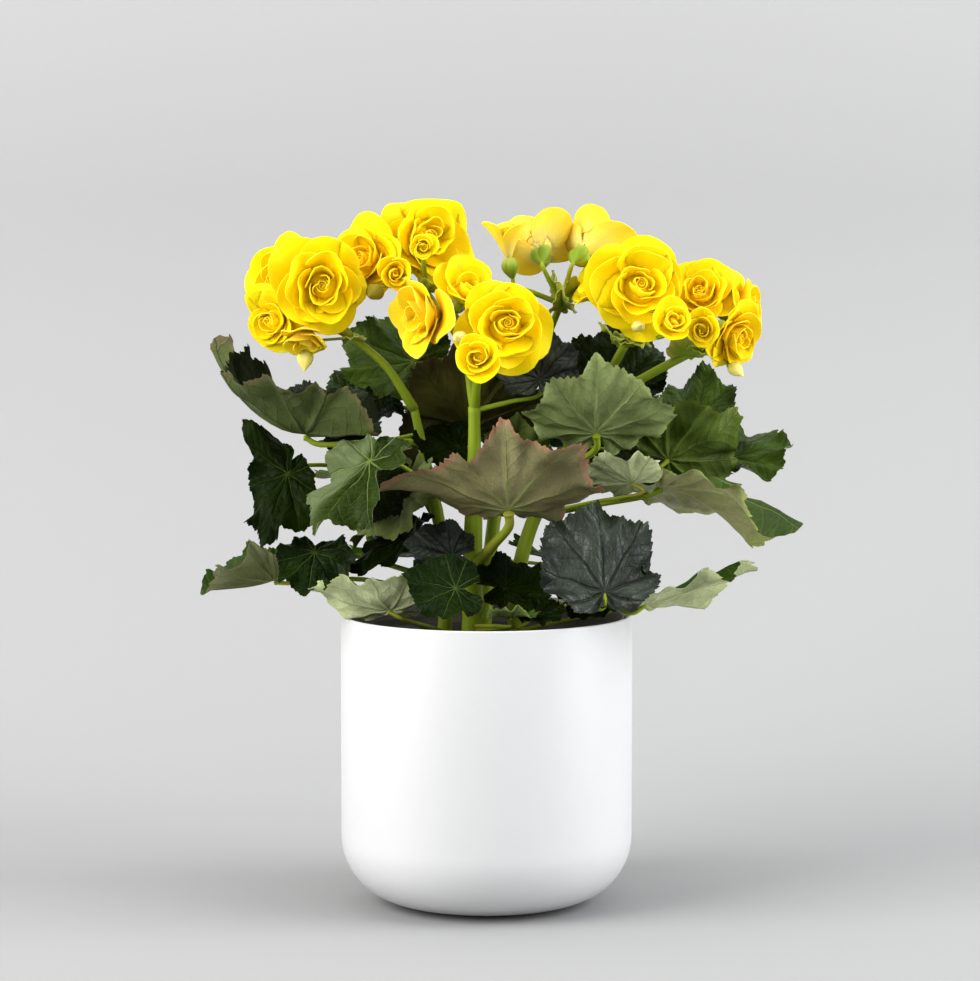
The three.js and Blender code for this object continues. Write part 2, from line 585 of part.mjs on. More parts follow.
function potNode() {
  const { radius, height, wall, lip, heel, floor, segments } = POT;
  const inside = radius - wall;
  const innerHeel = heel - wall;
  const outer = heelArc(radius - heel, FOOT.proud + heel, heel, 5);
  const inner = heelArc(inside - innerHeel, floor + innerHeel, innerHeel, 3).toReversed();
  const profile = [
    [0, FOOT.thickness + GAP],
    [FOOT.radius + GAP, FOOT.thickness + GAP],
    [FOOT.radius + GAP, FOOT.proud],
    ...outer.slice(1),
    [radius, height - lip],
    [radius - wall / 2, height],
    [inside, height - lip],
    ...inner,
    [0, floor],
  ];
  return node('cover_pot', lathe(profile, segments), 'pot');
}

function footNode() {
  const profile = [[0, 0], [FOOT.radius, 0], [FOOT.radius, FOOT.thickness], [0, FOOT.thickness]];
  return node('foot_pad', lathe(profile, FOOT.segments), 'foot');
}

// The plastic pot that the plant grows in stands low in the round heel of the cover pot.
function nurseryNode() {
  const { rim, rimDrop, rimBand, ledge, wall, neck, foot, base, segments } = NURSERY;
  const top = POT.height - rimDrop;
  const shoulder = top - rimBand;
  const profile = [
    [0, base],
    [foot, base],
    [neck, shoulder - ledge],
    [rim, shoulder],
    [rim, top],
    [rim - wall, top],
    [rim - wall, shoulder + wall],
    [neck - wall, shoulder - ledge],
    [foot - wall, base + wall],
    [0, base + wall],
  ];
  return node('nursery_pot', lathe(profile, segments), 'nursery');
}

// The potting soil fills the plastic pot, with a plain hole round each stem.
function soilNode() {
  const bottom = NURSERY.base + NURSERY.wall + GAP;
  const { radius, edge, crown, flat, holeFloor, segments } = SOIL;
  const foot = NURSERY.foot - NURSERY.wall - GAP;
  const profile = [[0, bottom], [foot, bottom], [radius, edge], [flat * radius, crown], [0, crown]];
  let soil = solid(lathe(profile, segments));
  Object.values(STEMS).forEach(({ radius: stemRadius, path }) => {
    const [root, above] = vectors(path);
    const lower = root.clone().setZ(holeFloor);
    const upper = root.clone().lerp(above, 0.4);
    soil = soil.subtract(solid(tube([lower, root, upper], stemRadius + GAP, 1, 8)));
  });
  return node('soil', geometryOf(soil), 'soil');
}

// ---------------------------------------------------------------- the whole

const group = new THREE.Group();
group.add(potNode(), footNode(), nurseryNode(), soilNode());
Object.keys(STEMS).forEach((stem) => group.add(stemNode(stem)));
LEAVES.forEach((leaf) => group.add(leafNode(leaf)));
BLOOMS.forEach((bloom) => group.add(bloomNode(bloom)));

export default group;
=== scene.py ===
# Potted begonia: a yellow, double-flowered begonia in a thin-walled white pot.
# Metres, +Z up, +Y away from the front. The origin is the centre of the pot's underside.

import math

import bpy
import numpy as np
from mathutils import Euler, Matrix, Vector, noise


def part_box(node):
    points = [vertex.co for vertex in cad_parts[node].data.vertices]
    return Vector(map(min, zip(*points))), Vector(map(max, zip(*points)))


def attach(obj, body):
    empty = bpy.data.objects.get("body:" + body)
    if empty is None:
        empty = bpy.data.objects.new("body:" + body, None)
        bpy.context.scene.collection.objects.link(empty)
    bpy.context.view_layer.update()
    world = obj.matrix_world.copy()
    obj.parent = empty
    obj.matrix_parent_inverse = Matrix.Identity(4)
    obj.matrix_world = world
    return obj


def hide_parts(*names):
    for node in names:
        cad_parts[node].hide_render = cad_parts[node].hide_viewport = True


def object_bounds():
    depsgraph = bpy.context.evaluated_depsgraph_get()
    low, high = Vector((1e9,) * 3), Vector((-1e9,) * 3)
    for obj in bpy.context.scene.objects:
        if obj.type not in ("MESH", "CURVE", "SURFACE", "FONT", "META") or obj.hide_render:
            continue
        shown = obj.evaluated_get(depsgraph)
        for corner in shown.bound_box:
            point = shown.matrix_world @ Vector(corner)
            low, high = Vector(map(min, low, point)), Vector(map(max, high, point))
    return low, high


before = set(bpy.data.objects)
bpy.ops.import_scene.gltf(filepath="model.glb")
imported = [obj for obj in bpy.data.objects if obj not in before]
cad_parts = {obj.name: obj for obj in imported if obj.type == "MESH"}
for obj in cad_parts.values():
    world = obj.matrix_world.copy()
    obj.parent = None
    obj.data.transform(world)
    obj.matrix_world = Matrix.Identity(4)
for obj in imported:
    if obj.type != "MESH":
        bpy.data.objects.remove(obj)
cad_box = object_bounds()

# ---------------------------------------------------------------- camera, light and stage

IMAGE = (980, 981)
CAMERA_AT = (0.00173, -1.7, 0.3579)
CAMERA_DOWN = 5.106               # degrees below level
FOCAL_PIXELS = 3441.5
SENSOR = 36.0


def add_camera():
    data = bpy.data.cameras.new("camera")
    data.sensor_fit = "HORIZONTAL"
    data.sensor_width = SENSOR
    data.lens = FOCAL_PIXELS / IMAGE[0] * SENSOR
    camera = bpy.data.objects.new("camera", data)
    camera.location = CAMERA_AT
    camera.rotation_euler = (math.radians(90 - CAMERA_DOWN), 0, 0)
    bpy.context.collection.objects.link(camera)
    bpy.context.scene.camera = camera


def add_softbox(name, at, target, size, power, tint=(1, 1, 1)):
    data = bpy.data.lights.new(name, "AREA")
    data.shape = "RECTANGLE"
    data.size, data.size_y = size
    data.energy = power
    data.color = tint
    light = bpy.data.objects.new(name, data)
    light.location = at
    light.rotation_euler = (Vector(target) - Vector(at)).to_track_quat("-Z", "Y").to_euler()
    bpy.context.collection.objects.link(light)


def add_lights():
    middle = (0, 0, 0.2)
    add_softbox("key_left", (-1.45, -0.8, 1.0), middle, (1.3, 1.6), 38, (1, 0.99, 0.97))
    add_softbox("fill_right", (1.6, -0.35, 0.8), middle, (1.2, 1.5), 29, (0.98, 0.99, 1))
    add_softbox("top", (0.1, 0.1, 1.7), middle, (1.4, 1.2), 13)
    world = bpy.data.worlds.new("studio")
    world.use_nodes = True
    background = world.node_tree.nodes["Background"]
    background.inputs["Color"].default_value = (0.97, 0.98, 1.0, 1)
    background.inputs["Strength"].default_value = 0.46
    bpy.context.scene.world = world
    bpy.context.scene.view_settings.view_transform = "Standard"
    bpy.context.scene.view_settings.look = "Medium High Contrast"


# ---------------------------------------------------------------- mesh helpers

MM = 0.001


def bell(offset, width):
    return np.exp(-((offset / width) ** 2))


# The signed difference of two angles in degrees, from -180 to 180.
def turn(a, b):
    return np.mod(np.asarray(a) - b + 180, 360) - 180


def clamp(value, low=0.0, high=1.0):
    return np.minimum(np.maximum(value, low), high)


def smooth(low, high, value):
    share = clamp((value - low) / (high - low))
    return share * share * (3 - 2 * share)


def deselect_all():
    bpy.ops.object.select_all(action="DESELECT")


DRAW_DEPTH = 0.008                # how far inside the box's sides the drawing in sets in


# A piece that reaches out of the CAD's box is drawn in, the more the closer to the box's side.
def draw_in(points):
    for axis in range(3):
        for side, limit in ((-1, cad_box[0][axis]), (1, cad_box[1][axis])):
            outward = points[:, axis] * side
            start = limit * side - DRAW_DEPTH
            if outward.max() > limit * side:
                drawn = start + DRAW_DEPTH * np.tanh((outward - start) / DRAW_DEPTH)
                points[:, axis] = np.where(outward > start, drawn, outward) * side
    return points


SHARP_ANGLE = 70                  # degrees between faces past which an edge isn't smoothed


# Several surfaces gathered into one mesh, each with its flat pattern coordinates and its marks.
# marks: upper face or not, share of the way from root to rim, and a tint of its own.
class Piece:
    def __init__(self):
        self.points = []
        self.faces = []
        self.flat = []
        self.marks = []
        self.count = 0

    def add(self, points, faces, flat, marks):
        self.points.append(points)
        self.faces.extend((np.asarray(face) + self.count).tolist() for face in faces)
        self.flat.append(flat)
        self.marks.append(marks)
        self.count += len(points)

    def finish(self, name, material, slot, nodes):
        mesh = bpy.data.meshes.new(name)
        points = draw_in(np.concatenate(self.points))
        mesh.from_pydata(points.tolist(), [], self.faces)
        corner_points = np.empty(len(mesh.loops), dtype=np.int32)
        mesh.loops.foreach_get("vertex_index", corner_points)
        flat = np.concatenate(self.flat)[corner_points]
        layer = mesh.uv_layers.new(name="flat")
        layer.data.foreach_set("uv", flat.ravel().astype(np.float32))
        colour = np.ones((len(points), 4), dtype=np.float32)
        colour[:, :3] = np.concatenate(self.marks)
        attribute = mesh.attributes.new("marks", "FLOAT_COLOR", "POINT")
        attribute.data.foreach_set("color", colour.ravel())
        mesh.shade_smooth()
        mesh.set_sharp_from_angle(angle=math.radians(SHARP_ANGLE))
        mesh.materials.append(material)
        mesh.validate()
        thing = bpy.data.objects.new(name, mesh)
        bpy.context.collection.objects.link(thing)
        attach(thing, "root")
        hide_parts(*nodes)


# The normal at each point, as the mean of those of the faces round it.
def sheet_normals(points, quads, triangles):
    normals = np.zeros_like(points)
    a, b, c, d = (points[quads[:, corner]] for corner in range(4))
    facing = np.cross(c - a, d - b)
    for corner in range(4):
        np.add.at(normals, quads[:, corner], facing)
    a, b, c = (points[triangles[:, corner]] for corner in range(3))
    facing = np.cross(b - a, c - a)
    for corner in range(3):
        np.add.at(normals, triangles[:, corner], facing)
    length = np.linalg.norm(normals, axis=1, keepdims=True)
    return normals / np.maximum(length, 1e-12)


# A sheet of rows and columns of points, thickened to a closed solid below its upper face. A round
# sheet is closed in its columns and has one more point in the middle, before its first row. The
# thickness is one for all, or depends on the share of the way to the rim.
def add_sheet(piece, rows, flat, shares, thickness, tint, turned, middle=None):
    count, columns = rows.shape[:2]
    index = np.arange(count * columns).reshape(count, columns)
    points = rows.reshape(-1, 3)
    uv = flat.reshape(-1, 2)
    share = np.repeat(shares, columns)
    if middle is None:
        triangles = np.empty((0, 3), dtype=int)
        a, b = index[:-1, :-1].ravel(), index[:-1, 1:].ravel()
        c, d = index[1:, 1:].ravel(), index[1:, :-1].ravel()
        border = np.concatenate([index[0, :-1], index[:-1, -1], index[-1, :0:-1], index[:0:-1, 0]])
        border = border[::-1]
    else:
        following = np.roll(index, -1, axis=1)
        a, b = index[:-1].ravel(), following[:-1].ravel()
        c, d = following[1:].ravel(), index[1:].ravel()
        triangles = np.stack([np.full(columns, index.size), index[0], following[0]], axis=1)
        border = index[-1]
        points = np.vstack([points, middle[None]])
        uv = np.vstack([uv, [[0.5, 0.5]]])
        share = np.append(share, 0.0)
    quads = np.stack([a, d, c, b], axis=1)
    depth = thickness(share) if callable(thickness) else np.full(len(points), thickness)
    under = points - sheet_normals(points, quads, triangles) * depth[:, None]
    total = len(points)
    after = np.roll(border, -1)
    faces = quads.tolist() + triangles.tolist()
    faces += (quads[:, ::-1] + total).tolist() + (triangles[:, ::-1] + total).tolist()
    faces += np.stack([border, border + total, after + total, after], axis=1).tolist()
    marks = np.zeros((2 * total, 3))
    marks[:total, 0] = 1
    marks[:, 1] = np.tile(share, 2)
    marks[:, 2] = tint
    piece.add(placed(np.vstack([points, under]), turned), faces, np.tile(uv, (2, 1)), marks)


# Points moved from a leaf's or flower's own frame to their place on the plant.
def placed(points, turned):
    return points @ np.array(turned.to_3x3()).T + np.array(turned.translation)


# A smooth curve through points: centripetal, and closed off by mirrored end points.
def smooth_route(points, steps):
    points = [np.array(point, dtype=float) for point in points]
    padded = [2 * points[0] - points[1], *points, 2 * points[-1] - points[-2]]
    result = []
    for corners in zip(padded, padded[1:], padded[2:], padded[3:]):
        start, end = corners[1:3]
        legs = [after - before for before, after in zip(corners, corners[1:])]
        spans = [max(np.linalg.norm(leg), 1e-6) ** 0.5 for leg in legs]
        slopes = [leg / span for leg, span in zip(legs, spans)]
        first, last = (slopes[i] - (corners[i + 2] - corners[i]) / (spans[i] + spans[i + 1]) + slopes[i + 1]
                       for i in (0, 1))
        for step in range(steps):
            t = step / steps
            bend = (t ** 3 - 2 * t ** 2 + t) * first + (t ** 3 - t ** 2) * last
            result.append((2 * t ** 3 - 3 * t ** 2 + 1) * start + (3 * t ** 2 - 2 * t ** 3) * end
                          + bend * spans[1])
    result.append(points[-1])
    return np.array(result)


# The faces of a tube of rings, closed by a point before its first ring and one after its last.
def ring_faces(count, columns):
    index = np.arange(count * columns).reshape(count, columns)
    after = np.roll(index, -1, axis=1)
    faces = np.stack([index[:-1], after[:-1], after[1:], index[1:]], axis=-1).reshape(-1, 4).tolist()
    faces += [[index.size, b, a] for a, b in zip(index[0], after[0])]
    faces += [[index.size + 1, a, b] for a, b in zip(index[-1], after[-1])]
    return faces


# A round stalk along a curve, with its radius at each point and closed, domed ends.
def add_stalk(piece, path, radii, sides, tint):
    count = len(path)
    radii = np.broadcast_to(radii, count)
    forward = np.gradient(path, axis=0)
    forward /= np.linalg.norm(forward, axis=1, keepdims=True)
    side = np.cross(forward[0], (0, 0, 1) if abs(forward[0, 2]) < 0.9 else (1, 0, 0))
    angles = (np.arange(sides) * 2 * math.pi / sides)[:, None]
    rings = []
    for here, ahead, radius in zip(path, forward, radii):
        side = side - ahead * side.dot(ahead)
        side /= np.linalg.norm(side)
        rings.append(here + radius * (np.cos(angles) * side + np.sin(angles) * np.cross(ahead, side)))
    ends = [path[0] - forward[0] * radii[0] * 0.5, path[-1] + forward[-1] * radii[-1] * 0.5]
    points = np.vstack([*rings, *ends])
    along = np.repeat(np.linspace(0, 1, count), sides)
    flat = np.stack([np.tile(np.arange(sides) / sides, count), along], axis=1)
    flat = np.vstack([flat, [[0.5, 0], [0.5, 1]]])
    marks = np.ones((len(points), 3))
    marks[:, 1] = np.append(along, [0, 1])
    marks[:, 2] = tint
    piece.add(points, ring_faces(count, sides), flat, marks)


# ---------------------------------------------------------------- shader helpers

# A node tree under construction. Each method adds one node or a few, and gives what they put out.
class Shader:
    def __init__(self, tree):
        self.tree = tree

    def feed(self, socket, value):
        if isinstance(value, bpy.types.NodeSocket):
            self.tree.links.new(value, socket)
        elif socket.type == "RGBA":
            socket.default_value = (*value, 1)
        else:
            socket.default_value = value

    def node(self, kind, inputs, **settings):
        made = self.tree.nodes.new(kind)
        for name, value in settings.items():
            setattr(made, name, value)
        for socket, value in inputs.items():
            self.feed(made.inputs[socket], value)
        return made.outputs

    def math(self, operation, first, second=0.0):
        return self.node("ShaderNodeMath", {0: first, 1: second}, operation=operation)[0]

    def plus(self, first, second):
        return self.math("ADD", first, second)

    def minus(self, first, second):
        return self.math("SUBTRACT", first, second)

    def times(self, first, second):
        return self.math("MULTIPLY", first, second)

    def over(self, first, second):
        return self.math("DIVIDE", first, second)

    # From the nearest whole number to the value.
    def past_whole(self, value):
        return self.minus(value, self.math("ROUND", value))

    # Runs smoothly from start to end while the value goes from low to high.
    def ramp(self, value, low, high, start=0.0, end=1.0):
        inputs = dict(enumerate((value, low, high, start, end)))
        return self.node("ShaderNodeMapRange", inputs, interpolation_type="SMOOTHSTEP")[0]

    def mix(self, share, first, second):
        return self.node("ShaderNodeMix", {0: share, 6: first, 7: second}, data_type="RGBA")[2]

    def noise(self, vector, scale, detail=2.0, roughness=0.5, output="Fac"):
        inputs = {"Vector": vector, "Scale": scale, "Detail": detail, "Roughness": roughness}
        return self.node("ShaderNodeTexNoise", inputs)[output]

    def cells(self, vector, scale, feature="F1"):
        inputs = {"Vector": vector, "Scale": scale}
        return self.node("ShaderNodeTexVoronoi", inputs, feature=feature)["Distance"]

    def bump(self, height, distance, strength):
        return self.node("ShaderNodeBump", {"Height": height, "Distance": distance, "Strength": strength})[0]

    def parts(self, vector):
        return self.node("ShaderNodeSeparateXYZ", {0: vector})

    def place(self):
        return self.node("ShaderNodeTexCoord", {})["Object"]

    def flat(self):
        return self.node("ShaderNodeUVMap", {}, uv_map="flat")[0]

    # Streaks along a surface, from its flat coordinates stretched by two factors.
    def streaks(self, across, along, detail):
        moved = self.node("ShaderNodeMapping", {"Vector": self.flat(), "Scale": (across, along, 1)})[0]
        return self.noise(moved, 1.0, detail, 0.6)

    # A piece's marks: upper face or not, share of the way from root to rim, tint.
    def marks(self):
        colour = self.node("ShaderNodeAttribute", {}, attribute_name="marks")["Color"]
        return self.node("ShaderNodeSeparateColor", {0: colour})


# A material under construction. Its surface's sockets are given by name, as values or outputs.
class Finish(Shader):
    def __init__(self, name, **values):
        self.material = bpy.data.materials.new(name)
        self.material.use_nodes = True
        super().__init__(self.material.node_tree)
        self.dress(**values)

    def dress(self, **sockets):
        surface = self.tree.nodes["Principled BSDF"].inputs
        for name, value in sockets.items():
            self.feed(surface[name.replace("_", " ")], value)
        return self.material


# ---------------------------------------------------------------- leaf finishes

PATTERN_SCALE = 0.3               # leaf lengths to the flat pattern's units
VEIN_SPREAD = 36.0                # degrees between the main veins
VEIN_END = 1.25                   # where a main vein would taper out, in leaf lengths
RIB_SPACING = 0.15                # of the side veins along a main vein, in leaf lengths
RIB_SLANT = 0.95                  # how far a side vein runs along the main vein while it runs one across
WOBBLE = 0.016                    # how far the veins wander, in the flat pattern's units


# Veins of a blade from its flat coordinates: main veins that fan out from the petiole, side veins
# that leave them at a slant, and the fine net between. Puckers swell between the side veins.
def leaf_vein_group():
    tree = bpy.data.node_groups.new("leaf veins", "ShaderNodeTree")
    tree.interface.new_socket("Flat", in_out="INPUT", socket_type="NodeSocketVector")
    for name in ("Main", "Side", "Net", "Puckers"):
        tree.interface.new_socket(name, in_out="OUTPUT", socket_type="NodeSocketFloat")
    shader = Shader(tree)
    flat = shader.node("NodeGroupInput", {})["Flat"]
    wobble = shader.noise(flat, 14, output="Color")
    moved = shader.node("ShaderNodeVectorMath", {0: wobble, 1: (WOBBLE, WOBBLE, 0), 2: flat},
                        operation="MULTIPLY_ADD")[0]
    x, y = (shader.over(shader.minus(part, 0.5 + WOBBLE / 2), PATTERN_SCALE)
            for part in shader.parts(moved)[:2])
    radius = shader.math("SQRT", shader.plus(shader.times(x, x), shader.times(y, y)))
    spread = math.radians(VEIN_SPREAD)
    offset = shader.times(shader.past_whole(shader.over(shader.math("ARCTAN2", y, x), spread)), spread)
    along = shader.times(radius, shader.math("COSINE", offset))
    across = shader.math("ABSOLUTE", shader.times(radius, shader.math("SINE", offset)))
    width = shader.math("MAXIMUM", shader.times(shader.minus(VEIN_END, radius), 0.013), 0.003)
    steps = shader.over(shader.minus(along, shader.times(across, RIB_SLANT)), RIB_SPACING)
    nearest = shader.math("ABSOLUTE", shader.past_whole(steps))
    shader.node("NodeGroupOutput", {
        "Main": shader.ramp(shader.over(across, width), 1.5, 0.4),
        "Side": shader.ramp(nearest, 0.075, 0.02),
        "Net": shader.ramp(shader.cells(flat, 62, "DISTANCE_TO_EDGE"), 0.09, 0.0),
        "Puckers": shader.ramp(shader.times(nearest, 2.0), 0.0, 0.8),
    })
    return tree


# upper, deep: colours of the upper face; under, blush: of the lower face and its margin; vein and
# rib: the veins of the upper and of the lower face; half: a painted sheen, a paler colour over one
# half of the upper face for the glossy highlight there; edge: share of the way out from where the
# margin's colour sets in.
PLAIN_LOOK = dict(roughness=0.42, gloss=0.15, edge=0.6)
LEAF_LOOKS = {
    "green": dict(upper=(0.055, 0.1, 0.006), deep=(0.012, 0.03, 0.002), vein=(0.11, 0.15, 0.03),
                  under=(0.12, 0.16, 0.04), blush=(0.15, 0.19, 0.05), rib=(0.17, 0.22, 0.07), roughness=0.3,
                  gloss=0.14),
    "dark": dict(upper=(0.011, 0.022, 0.001), deep=(0.004, 0.009, 0.0005), vein=(0.035, 0.06, 0.008),
                 under=(0.05, 0.07, 0.02), blush=(0.08, 0.1, 0.03), rib=(0.1, 0.13, 0.04), roughness=0.28,
                 gloss=0.06),
    "glossy": dict(upper=(0.016, 0.034, 0.002), deep=(0.005, 0.012, 0.001), vein=(0.035, 0.06, 0.008),
                   under=(0.05, 0.07, 0.02), blush=(0.08, 0.1, 0.03), rib=(0.1, 0.13, 0.04), roughness=0.22,
                   gloss=0.16),
    "veined": dict(upper=(0.01, 0.026, 0.002), deep=(0.004, 0.012, 0.001), vein=(0.1, 0.15, 0.04),
                   under=(0.1, 0.13, 0.04), blush=(0.13, 0.16, 0.05), rib=(0.17, 0.22, 0.07),
                   roughness=0.28, gloss=0.1),
    # slate: a dark green upper face given a grey cast, a painted reflection of the surroundings in its
    # sheen, on top of its real gloss.
    "slate": dict(upper=(0.042, 0.055, 0.039), deep=(0.007, 0.011, 0.006), vein=(0.012, 0.017, 0.012),
                  under=(0.1, 0.12, 0.05), blush=(0.13, 0.15, 0.07), rib=(0.1, 0.12, 0.05), roughness=0.33,
                  gloss=0.32),
    "dusky": dict(upper=(0.03, 0.045, 0.015), deep=(0.012, 0.02, 0.006), vein=(0.06, 0.08, 0.03),
                  under=(0.11, 0.14, 0.045), blush=(0.17, 0.15, 0.07), rib=(0.045, 0.06, 0.02),
                  roughness=0.36, gloss=0.22, edge=0.9),
    "tan": dict(upper=(0.035, 0.07, 0.006), deep=(0.015, 0.035, 0.003), vein=(0.13, 0.19, 0.05),
                under=(0.13, 0.15, 0.055), blush=(0.26, 0.27, 0.14), rib=(0.19, 0.22, 0.08), edge=0.5),
    # pale: the underside is pale of its own, and is made brighter still as painted light, for the light that
    # the white pot throws up onto undersides that hang over it.
    "pale": dict(upper=(0.035, 0.07, 0.006), deep=(0.015, 0.035, 0.003), vein=(0.13, 0.19, 0.05),
                 under=(0.52, 0.57, 0.33), blush=(0.56, 0.62, 0.32), rib=(0.4, 0.46, 0.2), edge=0.8),
    # soft: the underside is pale of its own, and is made brighter still as painted light, where it lies in
    # the shade of the blooms.
    "soft": dict(upper=(0.045, 0.08, 0.008), deep=(0.02, 0.045, 0.004), vein=(0.14, 0.19, 0.05),
                 under=(0.285, 0.345, 0.14), blush=(0.36, 0.42, 0.17), rib=(0.37, 0.44, 0.19),
                 roughness=0.4, gloss=0.18, edge=0.9),
    "tan_light": dict(upper=(0.045, 0.08, 0.008), deep=(0.02, 0.045, 0.004), vein=(0.14, 0.19, 0.05),
                      under=(0.38, 0.39, 0.17), blush=(0.4, 0.46, 0.15), rib=(0.42, 0.45, 0.2),
                      roughness=0.4, gloss=0.18, edge=0.85),
    "leafy": dict(upper=(0.055, 0.095, 0.008), deep=(0.02, 0.045, 0.004), vein=(0.12, 0.16, 0.03),
                  under=(0.088, 0.13, 0.019), blush=(0.14, 0.19, 0.03), rib=(0.12, 0.16, 0.03),
                  roughness=0.38, edge=0.85),
    # Painted light: an upper face far paler than the leaf's own, for a small leaf that lies deep in shade.
    "olive_light": dict(upper=(0.3, 0.36, 0.12), deep=(0.2, 0.25, 0.08), vein=(0.4, 0.46, 0.2),
                        under=(0.15, 0.18, 0.06), blush=(0.18, 0.21, 0.07), rib=(0.2, 0.23, 0.1),
                        roughness=0.4, edge=0.8),
    # bright: its half colour is a painted sheen, a paler grey-green over one half of the upper face for its
    # glossy highlight.
    "bright": dict(upper=(0.03, 0.056, 0.003), deep=(0.01, 0.024, 0.001), vein=(0.2, 0.26, 0.09),
                   under=(0.15, 0.19, 0.07), blush=(0.3, 0.35, 0.17), rib=(0.3, 0.35, 0.17),
                   half=(0.15, 0.19, 0.085), roughness=0.34, gloss=0.12),
    "young": dict(upper=(0.06, 0.11, 0.012), deep=(0.03, 0.07, 0.006), vein=(0.3, 0.38, 0.1),
                  under=(0.2, 0.28, 0.09), blush=(0.25, 0.32, 0.1), rib=(0.3, 0.38, 0.1), roughness=0.35,
                  gloss=0.2),
    "blushing": dict(upper=(0.05, 0.085, 0.02), deep=(0.025, 0.05, 0.01), vein=(0.2, 0.23, 0.07),
                     under=(0.26, 0.24, 0.12), blush=(0.4, 0.21, 0.14), rib=(0.26, 0.32, 0.1), edge=0.88),
    "olive": dict(upper=(0.03, 0.045, 0.01), deep=(0.015, 0.025, 0.005), vein=(0.05, 0.07, 0.012),
                  under=(0.07, 0.065, 0.015), blush=(0.09, 0.07, 0.03), rib=(0.045, 0.055, 0.01), edge=0.8),
}


def leaf_material(name, look, veins):
    look = PLAIN_LOOK | look
    leaf = Finish(f"leaf_{name}", Specular_IOR_Level=look["gloss"])
    upper, share = leaf.marks()[:2]
    flat = leaf.flat()
    vein = leaf.node("ShaderNodeGroup", {"Flat": flat}, node_tree=veins)
    clouds = leaf.ramp(leaf.noise(leaf.place(), 45, 3), 0.3, 0.7)
    grain = leaf.noise(flat, 90, 4, 0.6)
    top = leaf.mix(clouds, look["deep"], look["upper"])
    top = leaf.mix(leaf.times(grain, 0.35), top, look["upper"])
    # Painted sheen: one half of the upper face is made paler, for the glossy highlight that lies there.
    if "half" in look:
        top = leaf.mix(leaf.ramp(leaf.parts(flat)[1], 0.49, 0.42, 0.0, 0.9), top, look["half"])
    for part, strength in (("Net", 0.12), ("Side", 0.16), ("Main", 0.7)):
        top = leaf.mix(leaf.times(vein[part], strength), top, look["vein"])
    darker, lighter = ([factor * part for part in look["under"]] for factor in (0.72, 1.15))
    below = leaf.mix(clouds, darker, lighter)
    edge = leaf.times(leaf.ramp(share, look["edge"], 1.0), leaf.ramp(clouds, 0.0, 0.6, 0.6, 1.0))
    below = leaf.mix(edge, below, look["blush"])
    for part, strength, colour in (("Net", 0.18, "deep"), ("Side", 0.22, "rib"), ("Main", 0.6, "rib")):
        below = leaf.mix(leaf.times(vein[part], strength), below, look[colour])
    height = leaf.times(vein["Main"], -1.0)
    for part, strength in (("Side", -0.3), ("Puckers", 0.25), ("Net", -0.16)):
        height = leaf.plus(height, leaf.times(vein[part], strength))
    height = leaf.plus(height, leaf.times(grain, 0.2))
    facing = leaf.ramp(upper, 0.0, 1.0, -0.7, 1.0)
    return leaf.dress(
        Base_Color=leaf.mix(upper, below, top),
        Roughness=leaf.ramp(grain, 0.2, 0.8, look["roughness"] - 0.06, look["roughness"] + 0.14),
        Normal=leaf.bump(leaf.times(height, facing), 0.0006, 0.9))


# ---------------------------------------------------------------- other finishes

# inner, deep: the upper face at its rim and its root; back, pale: the rear face at its rim and its
# root; rim: the last of the upper face.
PETAL_LOOKS = {
    "petal_lemon": dict(inner=(0.998, 0.73, 0.005), deep=(0.998, 0.67, 0.003), back=(0.99, 0.74, 0.04),
                        pale=(0.97, 0.79, 0.14), rim=(0.998, 0.77, 0.03)),
    "petal_golden": dict(inner=(0.998, 0.68, 0.005), deep=(0.998, 0.61, 0.003), back=(0.99, 0.7, 0.03),
                         pale=(0.96, 0.74, 0.1), rim=(0.998, 0.74, 0.03)),
    "petal_cream": dict(inner=(0.995, 0.71, 0.02), deep=(0.995, 0.64, 0.008), back=(0.98, 0.68, 0.08),
                        pale=(0.97, 0.74, 0.24), rim=(0.995, 0.79, 0.16)),
    "olive_bud": dict(inner=(0.3, 0.26, 0.02), deep=(0.2, 0.16, 0.012), back=(0.33, 0.27, 0.04),
                      pale=(0.2, 0.2, 0.03), rim=(0.35, 0.28, 0.03)),
    "cream_bud": dict(inner=(0.9, 0.76, 0.22), deep=(0.78, 0.68, 0.18), back=(0.86, 0.76, 0.26),
                      pale=(0.4, 0.5, 0.1), rim=(0.9, 0.77, 0.24)),
}


def petal_material(name, look):
    petal = Finish(name, Subsurface_Weight=0.6, Subsurface_Scale=0.0016, Subsurface_Radius=(1.0, 0.9, 0.3),
                   Specular_IOR_Level=0.12)
    upper, share, tint = petal.marks()
    streaks = petal.streaks(26, 2.2, 3)
    clouds = petal.noise(petal.place(), 60, 2)
    face = petal.mix(petal.ramp(share, 0.05, 0.75), look["deep"], look["inner"])
    face = petal.mix(petal.times(tint, 0.4), face, look["deep"])
    face = petal.mix(petal.ramp(share, 0.86, 1.0, 0.0, 0.3), face, look["rim"])
    rear = petal.mix(petal.ramp(share, 0.1, 0.8), look["pale"], look["back"])
    rear = petal.mix(petal.ramp(clouds, 0.35, 0.7, 0.0, 0.5), rear, look["inner"])
    colour = petal.mix(upper, rear, face)
    return petal.dress(
        Base_Color=petal.mix(petal.ramp(streaks, 0.4, 0.75, 0.0, 0.22), colour, look["deep"]),
        Roughness=petal.ramp(streaks, 0.2, 0.8, 0.42, 0.6),
        Normal=petal.bump(petal.plus(streaks, petal.times(clouds, 0.6)), 0.00035, 0.5))


